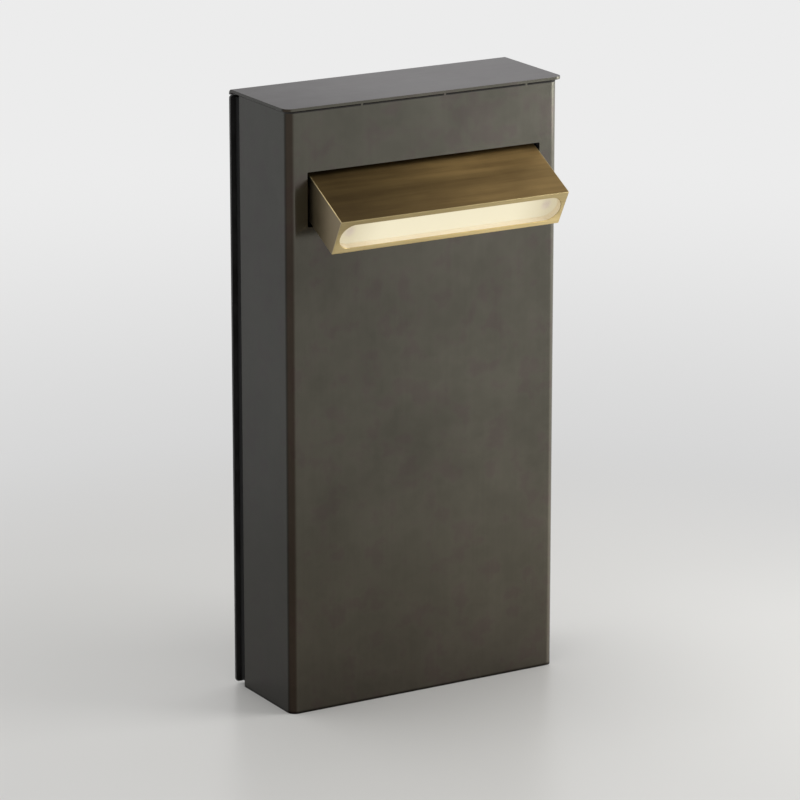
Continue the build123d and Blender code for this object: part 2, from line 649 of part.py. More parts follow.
def gear_tray():
    """The upright plate that carries the driver, with a foot on the base plate."""
    low = BASE_PLATE_THICKNESS
    plate = Pos(0, low + TRAY_HEIGHT / 2) * Rectangle(TRAY_WIDTH, TRAY_HEIGHT)
    plate = fillet(plate.vertices().group_by(Axis.Y)[-1], TRAY_CORNER_RADIUS)
    tray = prism_y(plate, TRAY_FRONT_Y, TRAY_FACE_Y)
    foot = Pos(0, TRAY_FRONT_Y + TRAY_FOOT / 2) * Rectangle(TRAY_WIDTH, TRAY_FOOT)
    for x, y in tray_screw_places():
        foot -= Pos(x, y) * Circle(M4_RADIUS + HOLE_CLEARANCE)
    tray += prism_z(foot, low, low + TRAY_SHEET)
    corner = tray.edges().filter_by(Axis.X).group_by(Axis.Z)[0].sort_by(Axis.Y)[0]
    return fillet(corner, TRAY_BEND)


def pan_head():
    """A pan head that points up from its seat."""
    head = prism_z(Circle(PAN_HEAD_RADIUS), 0, PAN_HEAD_HEIGHT)
    head = chamfer(head.edges().sort_by(Axis.Z)[-1], PAN_HEAD_EDGE)
    bar = Rectangle(PAN_CROSS_LENGTH, PAN_CROSS_WIDTH)
    cross = bar + Rot(0, 0, 90) * bar
    return head - prism_z(cross, PAN_HEAD_HEIGHT - PAN_CROSS_DEPTH, PAN_HEAD_HEIGHT + PAST)


def tray_screws():
    """Screws down through the foot of the tray into the base plate."""
    seat = BASE_PLATE_THICKNESS + TRAY_SHEET
    screw = Pos(0, 0, seat) * pan_head() + prism_z(Circle(M4_RADIUS), TRAY_SCREW_GROUND_GAP, seat)
    return together(Pos(x, y, 0) * screw for x, y in tray_screw_places())


def face_screw(length):
    """A pan-head screw that points back from the face of the tray."""
    return Rot(-90, 0, 0) * (pan_head() + prism_z(Circle(M4_RADIUS), -length, 0))


def driver_lug_places():
    """The Z of the hole in each driver lug."""
    return (DRIVER_FOOT - DRIVER_LUG_LENGTH / 2, DRIVER_TOP + DRIVER_LUG_LENGTH / 2)


def driver():
    """The sealed LED driver, with a lug at each end and a gland for each lead."""
    body = Pos(DRIVER_X, DRIVER_MID_Y) * Rectangle(DRIVER_WIDTH, DRIVER_DEPTH)
    body = fillet(body.vertices().group_by(Axis.Y)[-1], DRIVER_CORNER_RADIUS)
    case = prism_z(body, DRIVER_FOOT, DRIVER_TOP)
    case = fillet(case.faces().sort_by(Axis.Y)[-1].edges().filter_by(Axis.X), DRIVER_CORNER_RADIUS)
    height = DRIVER_HEIGHT + 2 * DRIVER_LUG_LENGTH
    lugs = RectangleRounded(DRIVER_LUG_WIDTH, height, DRIVER_LUG_ROUND)
    lugs = Pos(DRIVER_X, DRIVER_FOOT + DRIVER_HEIGHT / 2) * lugs
    for z in driver_lug_places():
        lugs -= Pos(DRIVER_X, z) * SlotOverall(DRIVER_LUG_SLOT, 2 * (M4_RADIUS + HOLE_CLEARANCE))
    case += prism_y(lugs, TRAY_FACE_Y, TRAY_FACE_Y + DRIVER_LUG_THICKNESS)
    gland = Pos(DRIVER_X, DRIVER_MID_Y) * Circle(INLET_RADIUS)
    case += prism_z(gland, DRIVER_FOOT - INLET_LENGTH, DRIVER_FOOT)
    case += prism_z(gland, DRIVER_TOP, DRIVER_TOP + INLET_LENGTH)
    return case


def driver_screws():
    """Screws that hold the driver to the tray."""
    screw = face_screw(DRIVER_LUG_THICKNESS + TRAY_SHEET + SCREW_TIP)
    seat = TRAY_FACE_Y + DRIVER_LUG_THICKNESS
    return together(Pos(DRIVER_X, seat, z) * screw for z in driver_lug_places())


def terminal_block():
    """A moulded block with a screw well and a wire entry for each pole."""
    box = Rectangle(TERMINAL_WIDTH, TERMINAL_DEPTH)
    box = Pos(TERMINAL_X, TRAY_FACE_Y + TERMINAL_DEPTH / 2) * box
    block = prism_z(box, TERMINAL_LEVEL, TERMINAL_LEVEL + TERMINAL_HEIGHT)
    block = chamfer(block.faces().sort_by(Axis.Y)[-1].edges(), TERMINAL_EDGE)
    top = TERMINAL_LEVEL + TERMINAL_HEIGHT
    face = TRAY_FACE_Y + TERMINAL_DEPTH
    for x in terminal_places():
        well = Pos(x, TERMINAL_LEVEL + TERMINAL_HEIGHT / 2) * Circle(TERMINAL_WELL_RADIUS)
        block -= prism_y(well, face - TERMINAL_WELL_DEPTH, face + PAST)
        entry = Pos(x, TERMINAL_ENTRY_Y) * Circle(TERMINAL_ENTRY_RADIUS)
        block -= prism_z(entry, top - TERMINAL_ENTRY_DEPTH, top + PAST)
        block -= prism_z(entry, TERMINAL_LEVEL - PAST, TERMINAL_LEVEL + TERMINAL_ENTRY_DEPTH)
    return block


def terminal_places():
    """The X of each pole of the terminal block."""
    first = TERMINAL_X - (TERMINAL_POLES - 1) * TERMINAL_PITCH / 2
    return [first + index * TERMINAL_PITCH for index in range(TERMINAL_POLES)]


def terminal_screws():
    """The clamping screw in each well."""
    face = TRAY_FACE_Y + TERMINAL_DEPTH - TERMINAL_WELL_DEPTH
    screw = prism_y(Circle(TERMINAL_WELL_RADIUS - TERMINAL_SCREW_GAP), 0, TERMINAL_SCREW_HEIGHT)
    slot = Rectangle(2 * TERMINAL_WELL_RADIUS, TERMINAL_SLOT_WIDTH)
    slot_floor = TERMINAL_SCREW_HEIGHT - TERMINAL_SLOT_DEPTH
    screw -= prism_y(slot, slot_floor, TERMINAL_SCREW_HEIGHT + PAST)
    level = TERMINAL_LEVEL + TERMINAL_HEIGHT / 2
    return together(Pos(x, face, level) * screw for x in terminal_places())


def earth_stud():
    """The earth stud, welded to the tray."""
    stud = Pos(EARTH_X, EARTH_LEVEL) * Circle(M5_RADIUS)
    return prism_y(stud, TRAY_FACE_Y, TRAY_FACE_Y + EARTH_STUD_LENGTH)


def earth_washer():
    """The flat washer on the earth stud."""
    ring = Pos(EARTH_X, EARTH_LEVEL) * (Circle(EARTH_WASHER_RADIUS) - Circle(M5_RADIUS))
    return prism_y(ring, TRAY_FACE_Y, TRAY_FACE_Y + EARTH_WASHER)


def earth_nut():
    """The nut on the earth stud."""
    ring = Pos(EARTH_X, EARTH_LEVEL) * (hexagon(M5_NUT_FLATS) - Circle(M5_RADIUS))
    low = TRAY_FACE_Y + EARTH_WASHER
    return prism_y(ring, low, low + M5_NUT_HEIGHT)


def cord_grip():
    """A bent strap that holds the supply cable against the tray."""
    span = GRIP_SCREW_SPACING - 2 * (PAN_HEAD_RADIUS + GRIP_HEAD_GAP)
    outer = SlotOverall(2 * GRIP_HEIGHT, span) if 2 * GRIP_HEIGHT > span else Circle(span / 2)
    outer = Rot(0, 0, 90) * outer
    inner = offset(outer, amount=-GRIP_SHEET)
    rise = outer - inner
    rise -= Pos(0, -GRIP_HEIGHT) * Rectangle(2 * span, 2 * GRIP_HEIGHT)
    feet = Pos(0, GRIP_SHEET / 2) * Rectangle(GRIP_SCREW_SPACING + 2 * PAN_HEAD_RADIUS, GRIP_SHEET)
    feet -= Pos(0, GRIP_SHEET / 2) * Rectangle(span - 2 * GRIP_SHEET, 2 * GRIP_SHEET)
    strap = prism_z(rise + feet, -GRIP_WIDTH / 2, GRIP_WIDTH / 2)
    for side in (-1, 1):
        hole = Pos(side * GRIP_SCREW_SPACING / 2, 0) * Circle(M4_RADIUS + HOLE_CLEARANCE)
        strap -= prism_y(hole, -PAST, GRIP_SHEET + PAST)
    return Pos(0, TRAY_FACE_Y, GRIP_LEVEL) * strap


def grip_screws():
    """Screws that hold the cord grip to the tray."""
    screw = face_screw(GRIP_SHEET + TRAY_SHEET + SCREW_TIP)
    seat = TRAY_FACE_Y + GRIP_SHEET
    return together(
        Pos(side * GRIP_SCREW_SPACING / 2, seat, GRIP_LEVEL) * screw for side in (-1, 1)
    )


def tray_holes():
    """The holes in the tray for every screw that passes through its face."""
    drill = Circle(M4_RADIUS)
    holes = [Pos(DRIVER_X, z) * drill for z in driver_lug_places()]
    holes += [Pos(side * GRIP_SCREW_SPACING / 2, GRIP_LEVEL) * drill for side in (-1, 1)]
    return together(prism_y(hole, TRAY_FRONT_Y - PAST, TRAY_FACE_Y + PAST) for hole in holes)


def pivot_bracket(side):
    """An angle behind the front wall whose ear carries one end of the light bar."""
    rear = PIVOT_Y + EAR_ROUND
    depth = rear - INNER_FRONT_Y
    width = EAR_SHEET + EAR_FOOT
    place = Pos(EAR_INNER + width / 2, INNER_FRONT_Y + depth / 2)
    outer = place * Rectangle(width, depth)
    corner = outer.vertices().group_by(Axis.Y)[0].sort_by(Axis.X)[0]
    outer = fillet(corner, EAR_BEND_RADIUS + EAR_SHEET)
    inner = Pos(EAR_SHEET, EAR_SHEET) * place * Rectangle(width, depth)
    corner = inner.vertices().group_by(Axis.Y)[0].sort_by(Axis.X)[0]
    inner = fillet(corner, EAR_BEND_RADIUS)
    low = SLOT_MIDDLE_LEVEL - EAR_HEIGHT / 2
    high = SLOT_MIDDLE_LEVEL + EAR_HEIGHT / 2
    bracket = prism_z(outer - inner, low, high)
    round_end = Pos(PIVOT_Y, PIVOT_LEVEL) * Circle(EAR_ROUND)
    ear = make_hull(round_end.edges() + [Line((STUD_Y, low), (STUD_Y, high))])
    ear += Pos((INNER_FRONT_Y + STUD_Y) / 2, SLOT_MIDDLE_LEVEL) * Rectangle(EAR_SHEET, EAR_HEIGHT)
    bracket &= prism_x(ear, EAR_INNER - PAST, EAR_INNER + width + PAST)
    bore = Pos(PIVOT_Y, PIVOT_LEVEL) * Circle(PIN_RADIUS + PIN_FIT)
    bracket -= prism_x(bore, EAR_INNER - PAST, EAR_OUTER + PAST)
    relief = Pos(STUD_Y, PIVOT_LEVEL) * Rectangle(3 * EAR_SHEET, 2 * EAR_RELIEF)
    bracket -= prism_x(relief, EAR_OUTER, EAR_INNER + width + PAST)
    for z in bracket_stud_levels():
        hole = Pos(BRACKET_STUD_X, z) * Circle(M3_RADIUS + HOLE_CLEARANCE)
        bracket -= prism_y(hole, INNER_FRONT_Y - PAST, STUD_Y + PAST)
    return bracket if side > 0 else mirrored(bracket)


def bracket_stud_levels():
    """The Z of each stud that holds a pivot bracket."""
    reach = BRACKET_STUD_SPACING / 2
    return (SLOT_MIDDLE_LEVEL - reach, SLOT_MIDDLE_LEVEL + reach)


def bracket_studs():
    """Studs welded inside the front wall."""
    end = STUD_Y + M3_NUT_HEIGHT + STUD_PROUD
    return together(
        prism_y(Pos(side * BRACKET_STUD_X, z) * Circle(M3_RADIUS), INNER_FRONT_Y, end)
        for side in (-1, 1)
        for z in bracket_stud_levels()
    )


def bracket_nuts():
    """Nuts on the pivot bracket studs."""
    ring = hexagon(M3_NUT_FLATS) - Circle(M3_RADIUS)
    return together(
        prism_y(Pos(side * BRACKET_STUD_X, z) * ring, STUD_Y, STUD_Y + M3_NUT_HEIGHT)
        for side in (-1, 1)
        for z in bracket_stud_levels()
    )


def head_lead():
    """The lead from the driver to the light bar, through the hollow pivot."""
    splice = (LEAD_INNER_END, PIVOT_Y, PIVOT_LEVEL)
    pivot = (LEAD_X, PIVOT_Y, PIVOT_LEVEL)
    gland = (DRIVER_X, DRIVER_MID_Y, DRIVER_TOP + INLET_LENGTH)
    points = [splice, pivot, *between(pivot, gland, HEAD_LEAD_ROUTE), gland]
    return lead_along(points, LEAD_RADIUS, first_radius=2 * LEAD_RADIUS)


def input_lead():
    """The lead from the terminal block to the driver."""
    block_top = TERMINAL_LEVEL + TERMINAL_HEIGHT
    gland = (DRIVER_X, DRIVER_MID_Y, DRIVER_FOOT - INLET_LENGTH)
    entry = (TERMINAL_X, TERMINAL_ENTRY_Y, block_top)
    clamp = (TERMINAL_X, TERMINAL_ENTRY_Y, block_top - TERMINAL_ENTRY_DEPTH)
    points = [gland, *between(gland, entry, INPUT_LEAD_ROUTE), clamp]
    return lead_along(points, INPUT_LEAD_RADIUS)


def head_housing():
    """The brass bar: a thick front with the lens pocket, and a cavity open at the back."""
    outline = Pos(0, (HEAD_NOSE + HEAD_BACK) / 2) * Rectangle(HEAD_WIDTH, HEAD_BACK - HEAD_NOSE)
    bar = prism_z(outline, -HEAD_HEIGHT / 2, HEAD_HEIGHT / 2)
    bar = chamfer(bar.edges(), HEAD_EDGE)
    cavity = Rectangle(CAVITY_WIDTH, CAVITY_HEIGHT)
    bar -= prism_y(cavity, CAVITY_FRONT, HEAD_BACK + PAST)
    bar -= prism_y(SlotOverall(LENS_LENGTH, LENS_HEIGHT), HEAD_NOSE - PAST, LEDGE_FACE)
    opening = SlotOverall(LENS_LENGTH - 2 * LEDGE_WIDTH, LENS_HEIGHT - 2 * LEDGE_WIDTH)
    bar -= prism_y(opening, LEDGE_FACE - PAST, CAVITY_FRONT + PAST)
    for side in (-1, 1):
        pad = prism_x(Circle(PIVOT_PAD_RADIUS), CAVITY_WIDTH / 2 - PIVOT_PAD, CAVITY_WIDTH / 2)
        bar += pad if side > 0 else mirrored(pad)
        for level in (-1, 1):
            place = Pos(side * (CAVITY_WIDTH - HEAD_BOSS) / 2, level * (CAVITY_HEIGHT - HEAD_BOSS) / 2)
            boss = place * Rectangle(HEAD_BOSS, HEAD_BOSS)
            bar += prism_y(boss, HEAD_BACK - HEAD_BOSS_LENGTH, HEAD_BACK - HEAD_EDGE)
    for x, z in head_screw_places():
        hole = Pos(x, z) * Circle(M3_RADIUS)
        bar -= prism_y(hole, HEAD_BACK - HEAD_SCREW_LENGTH, HEAD_BACK + PAST)
    bar -= prism_x(Circle(PIN_RADIUS), -HEAD_END - PAST, HEAD_END + PAST)
    return on_head(bar)


def head_screw_places():
    """The X and Z of each screw in the back of the light bar."""
    x = HEAD_WIDTH / 2 - HEAD_SCREW_INSET
    z = HEAD_HEIGHT / 2 - HEAD_SCREW_INSET
    return [(side * x, level * z) for side in (-1, 1) for level in (-1, 1)]


def lens():
    """The frosted lens at the bottom of the pocket."""
    length = LENS_LENGTH - 2 * LENS_CLEARANCE
    height = LENS_HEIGHT - 2 * LENS_CLEARANCE
    plate = prism_y(SlotOverall(length, height), LENS_FACE, GASKET_FACE)
    plate = fillet(plate.faces().sort_by(Axis.Y)[0].edges(), LENS_EDGE_ROUND)
    return on_head(plate)


def lens_gasket():
    """The flat seal between the lens and its ledge."""
    ring = SlotOverall(LENS_LENGTH - 2 * LENS_CLEARANCE, LENS_HEIGHT - 2 * LENS_CLEARANCE)
    ring -= SlotOverall(LENS_LENGTH - 2 * LEDGE_WIDTH, LENS_HEIGHT - 2 * LEDGE_WIDTH)
    return on_head(prism_y(ring, GASKET_FACE, LEDGE_FACE))


def heat_channel():
    """The aluminium channel behind the ledge that holds the board and spreads its heat."""
    middle = (CAVITY_FRONT + CHANNEL_BACK) / 2
    section = Pos(middle, 0) * Rectangle(CHANNEL_DEPTH, CHANNEL_HEIGHT)
    trough = Rectangle(CHANNEL_DEPTH - CHANNEL_WEB, TROUGH_HEIGHT)
    section -= Pos((CAVITY_FRONT + BOARD_BACK) / 2, 0) * trough
    for index in range(CHANNEL_GROOVE_COUNT):
        z = (index - (CHANNEL_GROOVE_COUNT - 1) / 2) * CHANNEL_GROOVE_PITCH
        section -= Pos(CHANNEL_BACK - CHANNEL_WEB / 4, z) * Rectangle(CHANNEL_WEB / 2, CHANNEL_GROOVE)
    channel = prism_x(section, -CHANNEL_LENGTH / 2, CHANNEL_LENGTH / 2)
    for x in board_screw_places():
        hole = Pos(x, 0) * Circle(BOARD_SCREW_RADIUS)
        channel -= prism_y(hole, BOARD_BACK - PAST, CHANNEL_BACK + PAST)
    wire_hole = Pos(WIRE_X, 0) * Circle(2 * WIRE_RADIUS)
    channel -= prism_y(wire_hole, BOARD_BACK - PAST, CHANNEL_BACK + PAST)
    return on_head(channel)


def board_screw_places():
    """The X of each board screw."""
    return (-BOARD_SCREW_SPACING / 2, BOARD_SCREW_SPACING / 2)


def led_board():
    """The narrow board that carries the light sources."""
    board = Rectangle(BOARD_LENGTH, BOARD_WIDTH)
    for x in board_screw_places():
        board -= Pos(x, 0) * Circle(BOARD_SCREW_RADIUS)
    return on_head(prism_y(board, BOARD_FACE, BOARD_BACK))


def leds():
    """A row of light sources on the board."""
    first = -(LED_COUNT - 1) * LED_PITCH / 2
    chip = Rectangle(LED_SIZE, LED_SIZE)
    row = together(
        prism_y(Pos(first + index * LED_PITCH, 0) * chip, BOARD_FACE - LED_HEIGHT, BOARD_FACE)
        for index in range(LED_COUNT)
    )
    return on_head(row)


def board_screws():
    """Screws that hold the board in its channel."""
    screws = []
    for x in board_screw_places():
        head = Pos(x, 0) * Circle(BOARD_SCREW_HEAD_RADIUS)
        shank = Pos(x, 0) * Circle(BOARD_SCREW_RADIUS)
        screw = prism_y(head, BOARD_FACE - BOARD_SCREW_HEAD, BOARD_FACE)
        screw += prism_y(shank, BOARD_FACE, BOARD_FACE + BOARD_SCREW_LENGTH)
        screws.append(screw)
    return on_head(together(screws))


def head_gasket():
    """The seal round the back of the light bar."""
    ring = Rectangle(HEAD_WIDTH - 2 * HEAD_EDGE, HEAD_HEIGHT - 2 * HEAD_EDGE)
    ring -= Rectangle(CAVITY_WIDTH - 2 * HEAD_GASKET_LAP, CAVITY_HEIGHT - 2 * HEAD_GASKET_LAP)
    return on_head(prism_y(ring, HEAD_BACK, HEAD_BACK + HEAD_GASKET))


def head_back_cover():
    """The plate that closes the back of the light bar."""
    plate = Rectangle(HEAD_WIDTH, HEAD_HEIGHT)
    for x, z in head_screw_places():
        plate -= Pos(x, z) * Circle(M3_RADIUS + HOLE_CLEARANCE)
    cover = prism_y(plate, HEAD_BACK + HEAD_GASKET, HEAD_TAIL)
    rim = cover.faces().sort_by(Axis.Y)[-1].outer_wire().edges()
    return on_head(chamfer(rim, HEAD_EDGE))


def head_screws():
    """Screws through the back cover of the light bar."""
    top = HEAD_TAIL + HEAD_SCREW_HEAD
    head = prism_y(Circle(HEAD_SCREW_HEAD_RADIUS), HEAD_TAIL, top)
    head = chamfer(head.edges().sort_by(Axis.Y)[-1], HEAD_SCREW_EDGE)
    head -= prism_y(hexagon(HEAD_SOCKET_FLATS), top - HEAD_SOCKET_DEPTH, top + PAST)
    screw = head + prism_y(Circle(M3_RADIUS), HEAD_TAIL - HEAD_SCREW_LENGTH, HEAD_TAIL)
    return on_head(together(Pos(x, 0, z) * screw for x, z in head_screw_places()))


def pivot_pin():
    """The solid pivot at the left end: a flanged pin put in from inside the bar."""
    return on_head(mirrored(pin_form()))


def pivot_tube():
    """The hollow pivot at the right end that lets the lead through."""
    bore = prism_x(Circle(TUBE_BORE_RADIUS), 0, PIN_END + PAST)
    return on_head(pin_form() - bore)


def pin_form():
    """The flange and the shank of a pivot, along +X."""
    flange_face = PIN_FLANGE_BACK - PIN_HEAD
    pin = prism_x(Circle(PIN_HEAD_RADIUS), flange_face, PIN_FLANGE_BACK)
    pin += prism_x(Circle(PIN_RADIUS), flange_face, PIN_END)
    return chamfer(pin.faces().sort_by(Axis.X)[-1].edges(), PIN_EDGE)


def both_ends(sketch, start, end):
    """The same round piece at both ends of the light bar."""
    piece = prism_x(sketch, start, end)
    return on_head(together((piece, mirrored(piece))))


def friction_washers():
    """Friction washers between the bar and the ears."""
    return both_ends(Circle(FRICTION_WASHER_RADIUS) - Circle(PIN_RADIUS), HEAD_END, EAR_INNER)


def spring_washers():
    """Disc springs that press the ears against the friction washers."""
    return both_ends(Circle(SPRING_WASHER_RADIUS) - Circle(PIN_RADIUS), EAR_OUTER, NUT_INNER)


def pivot_nuts():
    """Locking nuts on the pivots."""
    return both_ends(hexagon(PIVOT_NUT_FLATS) - Circle(PIN_RADIUS), NUT_INNER, NUT_OUTER)


def lead_connector():
    """The splice on the pivot axis, where the lead ends inside the bar."""
    sleeve = prism_x(Circle(CONNECTOR_RADIUS), LEAD_INNER_END - CONNECTOR_LENGTH, LEAD_INNER_END)
    return on_head(chamfer(sleeve.edges().filter_by(GeomType.CIRCLE), CONNECTOR_EDGE))


def board_wire():
    """The wire from the splice to the board, through the channel."""
    return on_head(prism_y(Pos(WIRE_X, 0) * Circle(WIRE_RADIUS), BOARD_BACK, -CONNECTOR_RADIUS))


NODES = {
    "housing": housing,
    "top_cap": top_cap,
    "cap_bracket_left": lambda: cap_bracket(-1),
    "cap_bracket_right": lambda: cap_bracket(1),
    "cap_studs": cap_studs,
    "cap_nuts": cap_nuts,
    "rear_cover": rear_cover,
    "rear_gasket": rear_gasket,
    "rear_screws": rear_screws,
    "rivet_nuts": rivet_nuts,
    "base_plate": base_plate,
    "base_angle_left": lambda: base_angle(-1),
    "base_angle_right": lambda: base_angle(1),
    "base_screws": base_screws,
    "base_nuts": base_nuts,
    "cable_grommet": cable_grommet,
    "gear_tray": lambda: gear_tray() - tray_holes(),
    "tray_screws": tray_screws,
    "cord_grip": cord_grip,
    "grip_screws": grip_screws,
    "driver": driver,
    "driver_screws": driver_screws,
    "terminal_block": terminal_block,
    "terminal_screws": terminal_screws,
    "earth_stud": earth_stud,
    "earth_washer": earth_washer,
    "earth_nut": earth_nut,
    "pivot_bracket_left": lambda: pivot_bracket(-1),
    "pivot_bracket_right": lambda: pivot_bracket(1),
    "bracket_studs": bracket_studs,
    "bracket_nuts": bracket_nuts,
    "head_lead": head_lead,
    "input_lead": input_lead,
    "head_housing": head_housing,
    "lens": lens,
    "lens_gasket": lens_gasket,
    "heat_channel": heat_channel,
    "led_board": led_board,
    "leds": leds,
    "board_screws": board_screws,
    "head_gasket": head_gasket,
    "head_back_cover": head_back_cover,
    "head_screws": head_screws,
    "pivot_pin": pivot_pin,
    "pivot_tube": pivot_tube,
    "friction_washers": friction_washers,
    "spring_washers": spring_washers,
    "pivot_nuts": pivot_nuts,
    "lead_connector": lead_connector,
    "board_wire": board_wire,
}

os.makedirs("parts", exist_ok=True)
for node, make in NODES.items():
    export_step(make(), f"parts/{node}.step")
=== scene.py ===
"""Looks of an outdoor floor lamp: a folded dark bronze housing with a tilting antique brass light bar.

Sizes of pieces are in millimetres, and those of finishes and the studio in metres. Meshes are in metres, in
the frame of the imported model: X runs across the lamp, Y from front to back, Z is up, and the origin is the
middle of the base.
"""

from __future__ import annotations

import json
import logging
import math
from dataclasses import dataclass
from enum import Enum, IntEnum
from typing import Iterable, Sequence

import bmesh
import bpy
from mathutils import Matrix, Vector

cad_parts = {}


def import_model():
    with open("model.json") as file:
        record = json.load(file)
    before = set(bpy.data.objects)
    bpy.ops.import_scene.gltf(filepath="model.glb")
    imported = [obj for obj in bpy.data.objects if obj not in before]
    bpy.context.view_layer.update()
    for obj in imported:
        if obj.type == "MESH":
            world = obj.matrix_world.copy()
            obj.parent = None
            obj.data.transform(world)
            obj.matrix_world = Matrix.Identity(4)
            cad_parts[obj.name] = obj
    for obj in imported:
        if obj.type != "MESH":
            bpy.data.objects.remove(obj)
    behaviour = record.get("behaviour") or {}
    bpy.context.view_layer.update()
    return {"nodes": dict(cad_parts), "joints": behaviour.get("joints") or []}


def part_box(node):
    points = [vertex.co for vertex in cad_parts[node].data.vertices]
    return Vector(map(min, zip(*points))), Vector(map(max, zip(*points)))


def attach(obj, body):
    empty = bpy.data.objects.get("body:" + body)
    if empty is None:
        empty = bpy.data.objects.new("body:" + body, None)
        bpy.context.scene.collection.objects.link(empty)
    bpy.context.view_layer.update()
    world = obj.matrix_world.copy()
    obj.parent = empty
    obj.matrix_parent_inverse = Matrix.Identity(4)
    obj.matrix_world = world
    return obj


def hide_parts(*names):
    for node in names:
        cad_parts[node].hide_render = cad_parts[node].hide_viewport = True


LOG = logging.getLogger("floor_lamp")
MM = 0.001
MERGE_DISTANCE = 1e-7
LAMP_HEIGHT = 0.406

# Nearly all values of a noise lie in its span, and many of them in its core
NOISE_SPAN = (0.3, 0.7)
NOISE_CORE = (0.35, 0.65)

# The screen's tone curve: a straight start up to the knee, then a power curve
KNEE = 0.04045
START_SLOPE = 12.92
CURVE_OFFSET = 0.055
CURVE_POWER = 2.4

Point = tuple[float, float, float]
Colour = tuple[float, float, float]
Span = tuple[float, float]
Stops = Sequence[tuple[float, Colour]]
Socket = bpy.types.NodeSocket
Material = bpy.types.Material
Mesh = bmesh.types.BMesh
Edge = bmesh.types.BMEdge
Piece = bpy.types.Object

CLEAR: Colour = (255, 255, 255)


class Body(Enum):
    """The two bodies of the lamp."""

    LAMP = "lamp_body"
    LIGHT = "light_head"


class Grain(Enum):
    """How the brush marks of a metal run, as noise scales along X, Y and Z, per metre."""

    ACROSS = (18.0, 320.0, 320.0)
    UPRIGHT = (700.0, 700.0, 9.0)


class SheetPlace(IntEnum):
    """The places of a sheet piece, in the order of its material slots."""

    FACE = 0
    # The sheet's rim; on the housing also the painted shadow line under the cap
    CUT = 1


class BarPlace(IntEnum):
    """The places of the light bar, in the order of its material slots."""

    OUTSIDE = 0
    RUBBED = 1
    POCKET = 2


def srgb(colour: Colour) -> tuple[float, float, float, float]:
    """Turn a screen colour into linear light.

    Args:
        colour: red, green and blue, from 0 to 255.

    Returns:
        Linear red, green, blue and an alpha of 1.
    """
    parts = [channel / 255.0 for channel in colour]
    linear = [p / START_SLOPE if p <= KNEE else ((p + CURVE_OFFSET) / (1.0 + CURVE_OFFSET)) ** CURVE_POWER
              for p in parts]
    return (linear[0], linear[1], linear[2], 1.0)


